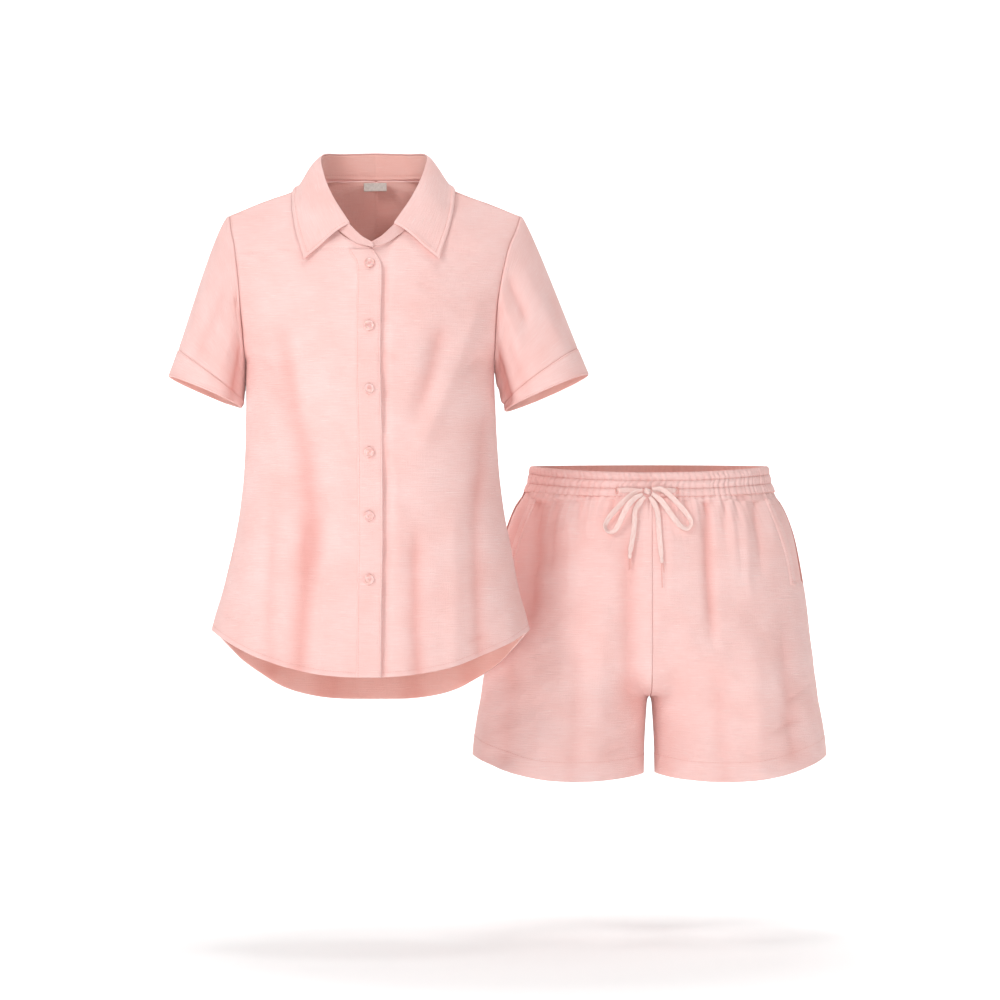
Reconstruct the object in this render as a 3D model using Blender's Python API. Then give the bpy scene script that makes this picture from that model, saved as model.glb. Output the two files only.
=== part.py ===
"""A shirt and shorts set, filled out as if worn: every cut piece is a thin closed wall.

Tables hold millimetres and the meshes metres. The garments' fronts face -Y, +Z is up, and
the origin lies between the shoulder seams, where the wearer's shoulders carry the shirt.
"""
import bpy
import bmesh
import math
import numpy as np

# Cloth and seams
CLOTH = 1.6
BAND = 2.2
SEAM = 0.4
CLEAR = 0.9
LAYER = CLOTH + SEAM
HAIR = 0.3

# Shirt, measured on its mid-line
CENTRE_FRONT = 2.5
OVERLAP = 15.5
UNDERLAP = 14.0
PLACKET = 31.5
PLACKET_SKIN = 1.1
BUTTON_DIAMETER = 13.5
BUTTON_SPACING = 80.5
TOP_BUTTON = -101.0
BUTTON_SEAT = 0.9
BUTTON_SIDES = 16
# Button section from its back to the floor of its dish
BUTTON_PROFILE = (
    # share of the radius, height
    (0.72, 0.0),
    (1.0, 0.7),
    (1.0, 1.9),
    (0.86, 2.6),
    (0.66, 2.1),
)
# The left front drops a layer below the lap: full inside the first place across, none
# outside the second, and from the first height down to the second
UNDER_LAP = (21.0, 34.0)
LAP_TOP = (-60.0, -84.0)
# Neck label: width, height, thickness, top edge, depth and the bow of its middle
LABEL = (30.0, 11.0, 1.0)
LABEL_TOP = 13.5
LABEL_Y = 55.4
LABEL_BOW = 140.0

# Shorts, which stand behind and beside the shirt
SHORTS_X = 368.0
SHORTS_Y = 150.0
GATHERS = 84
GATHER_HEIGHT = 1.5
CHANNEL_PUFF = 1.6
CHANNEL_SEAM = 0.2
SIDE_EASE = 0.45
TAPE_WIDTH = 7.0
TAPE_THICK = 2.0

# Sideways shift of the shirt's mid-line at a height
LEAN_ROWS = (
    # z, shift
    (-640, 0.0),
    (-560, 0.3),
    (-450, 2.2),
    (-330, 1.6),
    (-240, -0.5),
    (-150, -0.5),
    (-90, 2.0),
    (-40, 5.5),
    (60, 5.0),
)

# Front of the shirt from hem to shoulder: where the panel starts, depth and height on the
# mid-line, outer edge, turn of the section in degrees, power of the drop towards the side,
# share of the lap beyond the mid-line
FRONT_ROWS = (
    # x_in, y_mid, z_mid, x_out, y_out, z_out, turn, power, lap
    (0, -128, -628, 205, 0, -571, 90, 2.3, 1.0),
    (0, -127, -598, 200.5, 0, -552, 90, 2.1, 1.0),
    (0, -126, -545, 191, 0, -520, 90, 1.9, 1.0),
    (0, -125, -480, 180, 0, -470, 90, 1.6, 1.0),
    (0, -125, -415, 169, 0, -412, 90, 1.2, 1.0),
    (0, -126, -350, 163, 0, -350, 90, 1.0, 1.0),
    (0, -128, -290, 160.5, 0, -288, 90, 1.0, 1.0),
    (0, -128, -240, 160, 0, -232, 88, 1.0, 1.0),
    (0, -126, -205, 161.5, -27, -208, 74, 1.0, 1.0),
    (0, -120, -168, 163, -45, -176, 64, 1.0, 1.0),
    (0, -111, -130, 166, -52, -142, 58, 1.0, 1.0),
    (0, -101, -102, 170, -50, -112, 54, 1.0, 0.85),
    (0, -93, -84, 174, -45, -90, 52, 1.0, 0.25),
    (34, -84, -66, 178, -36, -72, 50, 1.1, 0.0),
    (58, -57, -29, 184, -20, -54, 48, 1.2, 0.0),
    (72, -4, 19.5, 188.5, 0, -35, 46, 1.45, 0.0),
)
BACK_ROWS = (
    (0, 122, -668, 205, 0, -571, 90, 3.1, 0),
    (0, 121, -625, 200.5, 0, -552, 90, 2.8, 0),
    (0, 119, -560, 191, 0, -520, 90, 2.2, 0),
    (0, 115, -490, 180, 0, -470, 90, 1.7, 0),
    (0, 112, -418, 169, 0, -412, 90, 1.2, 0),
    (0, 113, -350, 163, 0, -350, 90, 1.0, 0),
    (0, 117, -290, 160.5, 0, -288, 90, 1.0, 0),
    (0, 119, -240, 160, 0, -232, 88, 1.0, 0),
    (0, 119, -200, 162, 23, -208, 76, 1.0, 0),
    (0, 117, -160, 165, 38, -176, 68, 1.0, 0),
    (0, 112, -118, 169, 43, -142, 63, 1.0, 0),
    (0, 104, -78, 173, 42, -112, 60, 1.0, 0),
    (0, 92, -40, 177, 38, -90, 57, 1.0, 0),
    (0, 79, -10, 180, 31, -72, 54, 1.0, 0),
    (0, 62, 14, 184, 20, -54, 50, 1.0, 0),
    (44, 54, 24, 187, 9, -43, 48, 1.35, 0),
    (65, 26, 25, 188.2, 3, -37, 47, 1.4, 0),
    (72, -4, 19.5, 188.5, 0, -35, 46, 1.45, 0),
)
COLLAR_LEAN = 4.4
# Neck seam, fold and outer edge of the collar, from the back centre to the front
COLLAR_ROWS = (
    # seam x, y, z, fold x, y, z, edge x, y, z
    (0, 63, 17, 0, 64, 52, 0, 92, 4),
    (40, 54, 17, 42, 54, 50, 62, 76, 5),
    (66, 22, 14, 67, 17, 45, 98, 22, 2),
    (71, -14, 1, 64, -22, 19, 104, -22, -16),
    (62, -48, -31, 51, -55, -13, 99, -60, -52),
    (40, -80, -62, 28, -82, -50, 86, -94, -96),
)
STAND_FRONT = ((20, -92, -77, 14, -92, -64), (0, -97, -84, 0, -96, -75))
STAND_LIFT = 3.4
STAND_DROP = 2.0
STAND_LAP = (1.6, 3.0)
# Shares from the collar's fold to its edge, and the rise of the roll between them
LEAF_SHARES = (0, 0.08, 0.2, 0.45, 0.72, 1)
LEAF_ROLL = 5.0
LEAF_LIFT = (1.0, 0.8)
# Sleeve ends: centre and half sizes of the cuff's lower ring, for each side of the picture
CUFFS = {
    # x, y, z, half width, half depth, outer side raised by, fullness of the cap
    "right": (-215.0, 4, -263, 46.5, 55, 19.5, 1.15),
    "left": (229.5, 4, -264, 53.0, 55, 23.0, 0.8),
}
CUFF_SHARE = 0.80
# Pull of the sleeve where it leaves the armhole and where it meets the cuff
CAP_WAY = (1.0, -0.45)
CAP_OUT = 49.4
CAP_DOWN = (30.4, 7.6)
CUFF_WAY = (0.40, -0.92)
CUFF_RUN = (30.0, 95.0)
SLEEVE_DENTS = (
    # degrees round the sleeve from its outer side, width, depth
    (62, 0.22, 5.0),
    (112, 0.30, 7.0),
    (250, 0.30, 6.0),
)

# Shorts from hem to waist seam, on a ring about the shorts' own centre: split is 0 where
# the section runs on to the centre line and 1 where it closes round the leg
SHORTS_ROWS = (
    # x_in, x_out, half depth, split, z_in, z_mid, z_out
    (9.0, 235.5, 106, 1.0, -767, -773, -742),
    (8.4, 233, 108, 1.0, -738, -744, -716),
    (7.2, 229.5, 111, 1.0, -711, -716, -692),
    (5.6, 225, 114, 1.0, -686, -690, -668),
    (4.0, 222, 117, 1.0, -665, -664, -646),
    (2.4, 219, 118, 0.965, -662, -643, -628),
    (1.0, 217, 119, 0.86, -655, -622, -610),
    (0.6, 214.5, 120, 0.60, -634, -598, -590),
    (0.6, 212, 121, 0.28, -598, -570, -566),
    (0.6, 208.5, 121, 0.0, -552, -538, -534),
    (0.6, 202, 119, 0.0, -502, -494, -492),
    (0.6, 193, 112, 0.0, -456, -450, -449),
    (0.6, 180, 104, 0.0, -421, -417, -414),
    (0.6, 166.5, 97, 0.0, -401, -399, -394),
)
WAIST_ROWS = (
    # half width, half depth, z front, z side, z back
    (165, 96, -399.5, -392.5, -392),
    (160, 93, -388.5, -380, -380),
    (157.5, 91.5, -377.5, -368, -368),
    (155.5, 90.5, -366.5, -357.5, -355.5),
)
# Where a leg's lowest point lies, and how its hem climbs to the inner and outer sides
MID_SHARE = 0.33
INNER_CLIMB = 1.6
OUTER_CLIMB = 2.6

# Slant pocket edges: sideways from the shorts' centre and height, top to bottom
POCKET_ROWS = (
    # x, z
    (160, -402),
    (175, -440),
    (187, -478),
    (194, -515),
)
POCKET_EDGE = 8.0
POCKET_LIFT = 0.9

# Drawstring routes, relative to the shorts' centre, with the lift off the cloth
BOW_RIGHT = (
    # x, z, lift
    (-12.7, -390, 6.8),
    (-21, -392.5, 8),
    (-30, -398, 9),
    (-41, -408, 9),
    (-51, -419, 8),
    (-58, -428, 7),
    (-62, -437, 6),
    (-59, -444, 6),
    (-51, -444, 7),
    (-45, -436, 9),
    (-39, -423, 11),
    (-31, -409, 12),
    (-22, -400, 10.5),
    (-12.7, -395.5, 8),
)
BOW_LEFT = (
    # x, z, lift
    (-0.3, -388.5, 6.8),
    (11, -388.5, 8),
    (22, -396, 9),
    (33, -407, 9),
    (42, -417, 8),
    (49, -427, 7),
    (51, -435, 6),
    (46, -440.5, 6),
    (38, -438, 7),
    (31, -431, 9),
    (23, -420, 11),
    (14, -407, 12),
    (6, -399, 10.5),
    (-0.3, -394.5, 8),
)
TAIL_RIGHT = (
    # x, z, lift
    (-9.5, -398.6, 6.5),
    (-16, -405.5, 4.5),
    (-22.5, -417, 3.4),
    (-23.5, -432, 3.4),
    (-25, -446, 3.4),
    (-27.5, -460, 3.4),
    (-30, -476, 3.4),
    (-30, -494, 3.4),
)
TAIL_LEFT = (
    # x, z, lift
    (-3.5, -398.6, 6.5),
    (1.8, -406.5, 4.5),
    (6.5, -418, 3.4),
    (8, -434, 3.4),
    (9, -450, 3.4),
    (10.5, -466, 3.4),
    (12, -488, 3.4),
    (13, -513, 3.4),
)
KNOT = (-6.5, -391.5, 7.5)
KNOT_SIZE = (5.6, 5.6, 4.6)
LEADS = {"right": (-46, -13.5), "left": (33, 1.0)}
LEAD_Z = -390.5
CORD_RADIUS = 2.2

# Troughs and ridges pressed into the panels: a positive depth is a trough
SHIRT_FOLDS = (
    # side, face, x, z top, z bottom, half width, depth
    (-1, -1, 95, -330, -660, 26, 5.0),
    (-1, -1, 150, -360, -640, 22, 4.5),
    (1, -1, 80, -360, -660, 24, 4.0),
    (1, -1, 142, -330, -650, 24, 5.5),
    (-1, 1, 60, -340, -700, 26, 6.0),
    (-1, 1, 128, -320, -660, 24, 5.0),
    (1, 1, 48, -360, -700, 26, 5.0),
    (1, 1, 118, -330, -670, 26, 6.0),
)
SHORTS_FOLDS = (
    # side, face, x, z top, z bottom, half width, depth
    (-1, -1, 55, -405, -720, 18, 4.5),
    (-1, -1, 108, -400, -790, 22, 6.0),
    (-1, -1, 165, -400, -700, 20, 6.5),
    (1, -1, 58, -400, -640, 18, 4.0),
    (1, -1, 100, -400, -780, 22, 5.5),
    (1, -1, 160, -400, -720, 20, 6.5),
    (-1, 1, 45, -395, -700, 20, 5.0),
    (-1, 1, 100, -395, -790, 24, 6.5),
    (-1, 1, 160, -395, -720, 20, 6.0),
    (1, 1, 52, -395, -740, 20, 5.5),
    (1, 1, 112, -395, -790, 24, 6.0),
    (1, 1, 168, -395, -700, 20, 5.5),
)


def clear_scene():
    for item in list(bpy.data.objects):
        bpy.data.objects.remove(item, do_unlink=True)


def finish(name, colour, roughness):
    made = bpy.data.materials.new(name)
    made.use_nodes = True
    shader = made.node_tree.nodes["Principled BSDF"]
    shader.inputs["Base Color"].default_value = (*colour, 1)
    shader.inputs["Roughness"].default_value = roughness
    shader.inputs["Metallic"].default_value = 0
    return made


def add_mesh(name, points, faces, material):
    """One closed body from points in millimetres."""
    shape = bmesh.new()
    corners = [shape.verts.new([float(value) / 1000 for value in point]) for point in points]
    for face in faces:
        shape.faces.new([corners[index] for index in face])
    spare = [corner for corner in shape.verts if not corner.link_faces]
    bmesh.ops.delete(shape, geom=spare, context="VERTS")
    bmesh.ops.recalc_face_normals(shape, faces=shape.faces)
    mesh = bpy.data.meshes.new(name)
    shape.to_mesh(mesh)
    shape.free()
    mesh.materials.append(material)
    mesh.shade_smooth()
    mesh.set_sharp_from_angle(angle=math.radians(50))
    made = bpy.data.objects.new(name, mesh)
    bpy.context.scene.collection.objects.link(made)
    return made


def through(rows, steps):
    """A smooth table: each gap between rows gets this many steps."""
    rows = np.array(rows, float)
    ends = np.vstack([2 * rows[0] - rows[1], rows, 2 * rows[-1] - rows[-2]])
    made = []
    for k in range(len(rows) - 1):
        a, b, c, d = ends[k : k + 4]
        for t in np.arange(steps) / steps:
            made.append(
                0.5
                * (
                    2 * b
                    + (c - a) * t
                    + (2 * a - 5 * b + 4 * c - d) * t * t
                    + (3 * b - 3 * c + d - a) * t**3
                )
            )
    made.append(rows[-1])
    return np.array(made)


def grid_cells(rows, columns, closed):
    """Corners of a grid's cells; a closed grid joins its last column to its first."""
    cells = []
    for r in range(rows - 1):
        for c in range(columns if closed else columns - 1):
            n = (c + 1) % columns
            cells.append([r * columns + c, r * columns + n, (r + 1) * columns + n, (r + 1) * columns + c])
    return cells


def wall(name, sheets, material, closed=False):
    """A closed wall from sheets of inner and outer points, joined where the sheets meet."""
    inner = []
    outer = []
    cells = []
    for inside, outside in sheets:
        for cell in grid_cells(*inside.shape[:2], closed):
            cells.append([len(inner) + index for index in cell])
        inner.extend(inside.reshape(-1, 3))
        outer.extend(outside.reshape(-1, 3))
    places = {}
    first = [places.setdefault(tuple(np.round(point, 3)), index) for index, point in enumerate(inner)]
    cells = [[first[index] for index in cell] for cell in cells]
    uses = {}
    for cell in cells:
        for edge in zip(cell, cell[1:] + cell[:1]):
            uses.setdefault(frozenset(edge), []).append(edge)
    back = len(inner)
    faces = [cell[::-1] for cell in cells] + [[back + index for index in cell] for cell in cells]
    for found in uses.values():
        if len(found) == 1:
            a, b = found[0]
            faces.append([a, b, back + b, back + a])
    return add_mesh(name, inner + outer, faces, material)


def smoothstep(low, high, value):
    t = np.clip((value - low) / (high - low), 0, 1)
    return t * t * (3 - 2 * t)


def outward(points):
    """The way out of the shirt's body: sideways below the chest, upwards at the shoulders."""
    x = points[..., 0] / 170**2
    y = points[..., 1] / 120**2
    z = np.maximum(0, points[..., 2] + 150) / 104**2
    away = np.stack([x, y, z], axis=-1)
    return away / np.linalg.norm(away, axis=-1, keepdims=True)


def fold_depth(folds, side, face, x, z):
    """Depth of the pressed folds at a panel's points."""
    depth = np.zeros_like(x)
    for row_side, row_face, centre, top, bottom, half, deep in folds:
        if (row_side, row_face) != (side, face):
            continue
        across = np.exp(-(((x - centre) / half) ** 2))
        along = smoothstep(top, top - 90, z) * (1 - 0.6 * smoothstep(bottom + 120, bottom, z))
        depth += deep * across * along
    return depth


def lean(points):
    """The shirt's mid-line sways a little from the hem to the shoulders."""
    points = points.copy()
    rows = np.array(LEAN_ROWS)
    points[..., 0] += np.interp(points[..., 2], rows[:, 0], rows[:, 1])
    return points


def shirt_panel(rows, side, face, columns, steps, lap):
    """Half a shirt front or back: rows from hem to shoulder, columns from centre to side."""
    grid = []
    for x_in, y_mid, z_mid, x_out, y_out, z_out, turn, power, lap_share in through(rows, steps):
        y_out = min(y_out, 0) if face < 0 else max(y_out, 0)
        turn = math.radians(turn)
        start = math.asin((max(x_in, 0) - lap * lap_share) / x_out * math.sin(turn)) / turn
        s = np.linspace(start, 1, columns)
        along = np.sin(s * turn) / math.sin(turn)
        x = x_out * along
        y = y_mid + (y_out - y_mid) * (1 - np.cos(s * turn)) / (1 - math.cos(turn))
        z = z_mid + (z_out - z_mid) * np.maximum(along, 0) ** max(power, 1)
        inset = fold_depth(SHIRT_FOLDS, side, face, x, z) * (1 - np.abs(along)) ** 0.3
        y = y - face * inset
        grid.append(np.stack([side * x, y, z], axis=-1))
    return lean(np.array(grid))


def trimmed(grid, low=0, high=0, near=0, far=0):
    """A panel's edges drawn in by these many millimetres: first row, last row, columns."""
    grid = grid.copy()

    def pull(edge, inner, by):
        away = inner - edge
        return edge + away * (by / np.maximum(np.linalg.norm(away, axis=-1, keepdims=True), 1e-6))

    grid[0] = pull(grid[0], grid[1], low) if low else grid[0]
    grid[-1] = pull(grid[-1], grid[-2], high) if high else grid[-1]
    grid[:, 0] = pull(grid[:, 0], grid[:, 1], near) if near else grid[:, 0]
    grid[:, -1] = pull(grid[:, -1], grid[:, -2], far) if far else grid[:, -1]
    return grid


def build_shirt_body(cloth):
    columns, steps = 11, 2
    right = shirt_panel(FRONT_ROWS, -1, -1, columns, steps, OVERLAP + CENTRE_FRONT)
    left = shirt_panel(FRONT_ROWS, 1, -1, columns, steps, UNDERLAP - CENTRE_FRONT)
    under = 1 - smoothstep(*UNDER_LAP, left[..., 0])
    left[..., 1] += (LAYER + HAIR) * under * smoothstep(*LAP_TOP, left[..., 2])
    back = shirt_panel(BACK_ROWS, 1, 1, 9, steps, 0)
    other = shirt_panel(BACK_ROWS, -1, 1, 9, steps, 0)
    joined = np.abs(back[:, 0, 0] - other[:, 0, 0]) < SEAM
    other[joined, 0] = back[joined, 0]
    right, left, back, other = [trimmed(grid, high=SEAM, far=SEAM) for grid in (right, left, back, other)]
    panels = {"shirt_front_right": (right,), "shirt_front_left": (left,), "shirt_back": (back, other)}
    for name, grids in panels.items():
        wall(name, [(grid, grid + CLOTH * outward(grid)) for grid in grids], cloth)
    return right, left, back, other


def armhole(side, around):
    """The armhole's loop on the body's inner surface, from the shoulder down the front."""
    front = through(FRONT_ROWS, 8)
    back = through(BACK_ROWS, 8)
    first = 7 * 8
    front = front[first:, 3:6][::-1]
    back = back[first:, 3:6]
    front[:, 1] = np.minimum(front[:, 1], 0)
    back[:, 1] = np.maximum(back[:, 1], 0)
    loop = np.vstack([front, back[1:-1]])
    loop[:, 0] *= side
    loop = lean(loop)
    steps = np.linalg.norm(np.diff(np.vstack([loop, loop[:1]]), axis=0), axis=1)
    reach = np.concatenate([[0], np.cumsum(steps)])
    wanted = np.linspace(0, reach[-1], around, endpoint=False)
    closed = np.vstack([loop, loop[:1]])
    return np.stack([np.interp(wanted, reach, closed[:, k]) for k in range(3)], axis=1)


def sleeve_grid(side, name, around, rings):
    """Rings from the armhole to the cuff's lower edge, on the sleeve's inner surface."""
    start = armhole(side, around)
    x, y, z, half_w, half_d, raised, fullness = CUFFS[name]
    turn = np.arange(around) / around * 2 * math.pi
    under = smoothstep(0.45, 0.95, (1 - np.cos(turn)) / 2)[:, None]
    start = start + outward(start) * (LAYER + 0.1) + np.array([side * (CLOTH + 0.6), 0, 0]) * under
    end = np.stack(
        [
            x + side * half_w * np.cos(turn),
            y - half_d * np.sin(turn),
            z + raised * np.cos(turn) + 4 * np.sin(turn),
        ],
        axis=1,
    )
    out = np.array([side * CAP_WAY[0], 0, CAP_WAY[1]])
    down = np.array([side * CUFF_WAY[0], 0, CUFF_WAY[1]])
    top = (1 + np.cos(turn))[:, None] / 2
    leave = out * (CAP_OUT * fullness * top)
    leave[:, 2:] -= CAP_DOWN[0] - CAP_DOWN[1] * top
    arrive = down * (CUFF_RUN[0] + CUFF_RUN[1] * top)
    grid = []
    for t in np.linspace(0, 1, rings):
        grid.append(
            start * (2 * t**3 - 3 * t * t + 1)
            + leave * (t**3 - 2 * t * t + t)
            + end * (3 * t * t - 2 * t**3)
            + arrive * (t**3 - t * t)
        )
    grid = np.array(grid)
    share = np.linspace(0, 1, rings)[:, None]
    centre = grid.mean(axis=1, keepdims=True)
    for where, width, deep in SLEEVE_DENTS:
        across = np.exp(-(((turn - math.radians(where)) / width) ** 2))
        press = deep * across * np.sin(math.pi * share) ** 0.8
        grid += press[..., None] * (centre - grid) / np.linalg.norm(centre - grid, axis=-1)[..., None]
    return grid


def ring_outward(grid):
    """The way out of a sleeve at each point, square to its surface."""
    around = np.roll(grid, -1, axis=1) - np.roll(grid, 1, axis=1)
    along = np.gradient(grid, axis=0)
    away = np.cross(around, along)
    away /= np.linalg.norm(away, axis=-1, keepdims=True)
    centre = grid.mean(axis=1, keepdims=True)
    flip = np.sign((away * (grid - centre)).sum(axis=-1).mean())
    return away * flip


def build_sleeves(cloth):
    around, rings = 22, 11
    for side, name in ((-1, "right"), (1, "left")):
        grid = sleeve_grid(side, name, around, rings)
        away = ring_outward(grid)
        split = round(CUFF_SHARE * (rings - 1))
        body = grid[: split + 1].copy()
        body[-1] += (grid[split - 1] - grid[split]) * 0.02
        wall(f"sleeve_{name}", [(body, body + CLOTH * away[: split + 1])], cloth, closed=True)
        cuff = grid[split:].copy()
        cuff[0] += (grid[split + 1] - grid[split]) * 0.03
        sheet = (cuff - HAIR * away[split:], cuff + BAND * away[split:])
        wall(f"cuff_{name}", [sheet], cloth, closed=True)


def square_out(grid):
    """Normals of an open grid."""
    down = np.gradient(grid, axis=0)
    across = np.gradient(grid, axis=1)
    away = np.cross(down, across)
    return away / np.linalg.norm(away, axis=-1, keepdims=True)


def both_sides(rows, lift):
    """A half row mirrored into a whole one, from the wearer's right to the left."""
    rows = np.array(rows, float)
    other = rows.copy()
    other[:, 0] *= -1
    whole = np.vstack([other[:0:-1], rows])
    whole[:, 0] += COLLAR_LEAN
    whole[:, 2] += lift
    return whole


def rest_on(points, grids):
    """Points that lie nearer than a layer to the body are moved out along its own direction."""
    body = np.vstack([(grid + CLOTH * outward(grid)).reshape(-1, 3) for grid in grids])
    normal = outward(body)
    made = points.copy()
    for index in np.ndindex(points.shape[:2]):
        point = points[index]
        gap = np.linalg.norm(body - point, axis=1)
        near = np.argsort(gap)[:3]
        low = min(((point - body[k]) @ normal[k]) for k in near)
        if low < CLEAR and gap[near[0]] < 30:
            made[index] = point + normal[near[0]] * (CLEAR - low)
    return made


def build_collar(cloth, body):
    """A stand that follows the neck seam, and the leaf that folds over it onto the body."""
    table = through(COLLAR_ROWS, 3)
    front = through([table[-1][:6], *STAND_FRONT], 3)[1:]
    seam = both_sides(np.vstack([table[:, :3], front[:, :3]]), STAND_LIFT)
    fold = both_sides(np.vstack([table[:, 3:6], front[:, 3:6]]), -STAND_DROP)
    count = len(seam)
    share = np.linspace(0, 1, count)
    over = np.where(share < 0.5, 1, -1) * smoothstep(0.38, 0.5, np.abs(share - 0.5))
    for line in (seam, fold):
        line[:, 1] -= STAND_LAP[0] * over
        past = smoothstep(0.45, 0.5, np.abs(share - 0.5))
        line[:, 0] += STAND_LAP[1] * np.sign(0.5 - share) * past
    stand = np.array([seam + (fold - seam) * t for t in (0, 0.5, 1)])
    away = -square_out(stand)
    away *= np.sign((away[:, :, :2] * stand[:, :, :2]).sum(axis=-1))[..., None]
    wall("collar_stand", [(stand, stand + CLOTH * away)], cloth)
    fold = both_sides(table[:, 3:6], 0)
    edge = both_sides(table[:, 6:9], 0)
    leaf = []
    for t in LEAF_SHARES:
        row = fold + (edge - fold) * t
        row[:, 2] += LEAF_ROLL * math.sin(math.pi * min(t * 1.25, 1)) * (1 - t)
        leaf.append(row)
    leaf = rest_on(np.array(leaf), body)
    away = -square_out(leaf)
    away *= np.sign(away[:, :, 2] + (away[:, :, :2] * leaf[:, :, :2]).sum(axis=-1) / 60)[..., None]
    base = leaf + LEAF_LIFT[0] * away
    base[0] = leaf[0] + np.array([0, 0, LEAF_LIFT[1]])
    wall("collar_leaf", [(base, base + CLOTH * away)], cloth)


def build_placket(cloth, right):
    """The strip lies on the right front, so it is made from that front's own points."""
    path = []
    for row in right[:-6]:
        row = row[np.argsort(row[:, 0])]
        edge = row[-1, 0] - SEAM
        x = np.linspace(edge, edge - PLACKET, 4)
        path.append(np.stack([x, *(np.interp(x, row[:, 0], row[:, k]) for k in (1, 2))], axis=-1))
    path = np.array(path)
    away = outward(path)
    low = path + LAYER * away
    wall("placket", [(low, low + PLACKET_SKIN * away)], cloth)
    return low + PLACKET_SKIN * away


def build_buttons(shell, top):
    """Six four-hole buttons down the placket's middle line."""
    middle = (top[:, 1] + top[:, 2]) / 2
    order = np.argsort(middle[:, 2])
    for index in range(6):
        z = TOP_BUTTON - index * BUTTON_SPACING
        y = np.interp(z, middle[order, 2], middle[order, 1])
        y_up = np.interp(z + BUTTON_DIAMETER, middle[order, 2], middle[order, 1])
        tilt = math.atan2(y_up - y, BUTTON_DIAMETER)
        shape = bmesh.new()
        loops = []
        for share, height in BUTTON_PROFILE:
            ring = share * BUTTON_DIAMETER / 2
            loop = []
            for k in range(BUTTON_SIDES):
                turn = 2 * math.pi * k / BUTTON_SIDES
                loop.append(shape.verts.new((ring * math.cos(turn), -height, ring * math.sin(turn))))
            loops.append(loop)
        for low, high in zip(loops, loops[1:]):
            for k in range(BUTTON_SIDES):
                n = (k + 1) % BUTTON_SIDES
                shape.faces.new((low[k], low[n], high[n], high[k]))
        shape.faces.new(loops[0])
        shape.faces.new(loops[-1])
        bmesh.ops.recalc_face_normals(shape, faces=shape.faces)
        bmesh.ops.scale(shape, vec=(0.001, 0.001, 0.001), verts=shape.verts)
        mesh = bpy.data.meshes.new(f"button_{index + 1}")
        shape.to_mesh(mesh)
        shape.free()
        mesh.materials.append(shell)
        mesh.shade_smooth()
        mesh.set_sharp_from_angle(angle=math.radians(40))
        button = bpy.data.objects.new(f"button_{index + 1}", mesh)
        button.location = (CENTRE_FRONT / 1000, (y - BUTTON_SEAT) / 1000, z / 1000)
        button.rotation_euler = (-tilt, 0, 0)
        bpy.context.scene.collection.objects.link(button)


def build_label(ribbon):
    """A blank ribbon inside the back of the neck, bowed like the neck itself."""
    width, height, thick = LABEL
    x = np.linspace(-width / 2, width / 2, 5) + COLLAR_LEAN
    y = LABEL_Y - x * x / LABEL_BOW
    grid = np.array([np.stack([x, y, 0 * x + LABEL_TOP - height * t], axis=-1) for t in (0, 0.5, 1)])
    wall("neck_label", [(grid, grid - np.array([0, thick, 0]))], ribbon)


def shorts_panel(side, face, columns, steps):
    """A quarter of the shorts: rows from hem to waist seam, columns from centre to side."""
    share = (1 - np.cos(np.linspace(0, math.pi, columns))) / 2
    grid = []
    for x_in, x_out, depth, split, z_in, z_mid, z_out in through(SHORTS_ROWS, steps):
        centre = min(max(split, 0), 1) * (x_in + x_out) / 2
        x = x_in + (x_out - x_in) * share
        y = depth * np.sqrt(np.maximum(0, 1 - ((x - centre) / (x_out - centre)) ** 2))
        inner = np.clip(1 - share / MID_SHARE, 0, 1)
        outer = np.clip((share - MID_SHARE) / (1 - MID_SHARE), 0, 1)
        z = z_mid + (z_in - z_mid) * inner**INNER_CLIMB + (z_out - z_mid) * outer**OUTER_CLIMB
        inset = fold_depth(SHORTS_FOLDS, side, face, x, z) * smoothstep(0, 0.7, y / depth)
        y = y - inset * smoothstep(0, 0.06, share)
        grid.append(np.stack([SHORTS_X + side * x, SHORTS_Y + face * y, z], axis=-1))
    grid = np.array(grid)
    away = grid[-1, :, :2] - np.array([SHORTS_X, SHORTS_Y])
    half_w, half_d = WAIST_ROWS[0][:2]
    seam = waist_point(WAIST_ROWS[0], np.arctan2(away[:, 0] / half_w, -away[:, 1] / half_d))
    grid[-1, :, 2] = seam[:, 2] - SEAM
    return grid


def shorts_outward(grid, side):
    """The way out of a shorts panel, level at the waist seam and sideways at the side seam."""
    away = square_out(grid)
    centre = np.array([SHORTS_X + side * 110, SHORTS_Y, 0])
    flip = np.sign((away[..., :2] * (grid - centre)[..., :2]).sum())
    away = away * flip
    away[:, -1] = [side, 0, 0]
    away[-1, :, 2] = 0
    return away / np.linalg.norm(away, axis=-1, keepdims=True)


def build_shorts(cloth):
    columns, steps = 13, 1
    panels = {}
    for side, hand in ((-1, "right"), (1, "left")):
        for face, name in ((-1, "front"), (1, "back")):
            grid = shorts_panel(side, face, columns, steps)
            away = shorts_outward(grid, side)
            grid = trimmed(grid, near=SEAM, far=SEAM)
            wall(f"shorts_{name}_{hand}", [(grid, grid + CLOTH * away)], cloth)
            panels[name, hand] = grid, away
    return panels


def waist_point(row, turn):
    """A place on one of the waist's rings, turned from the front towards the wearer's left."""
    half_w, half_d, z_front, z_side, z_back = row
    x = half_w * np.sin(turn)
    y = -half_d * np.cos(turn)
    end = np.where(np.cos(turn) > 0, z_front, z_back)
    z = z_side + (end - z_side) * np.abs(np.cos(turn)) ** 1.5
    return np.stack([SHORTS_X + x, SHORTS_Y + y, z], axis=-1)


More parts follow.
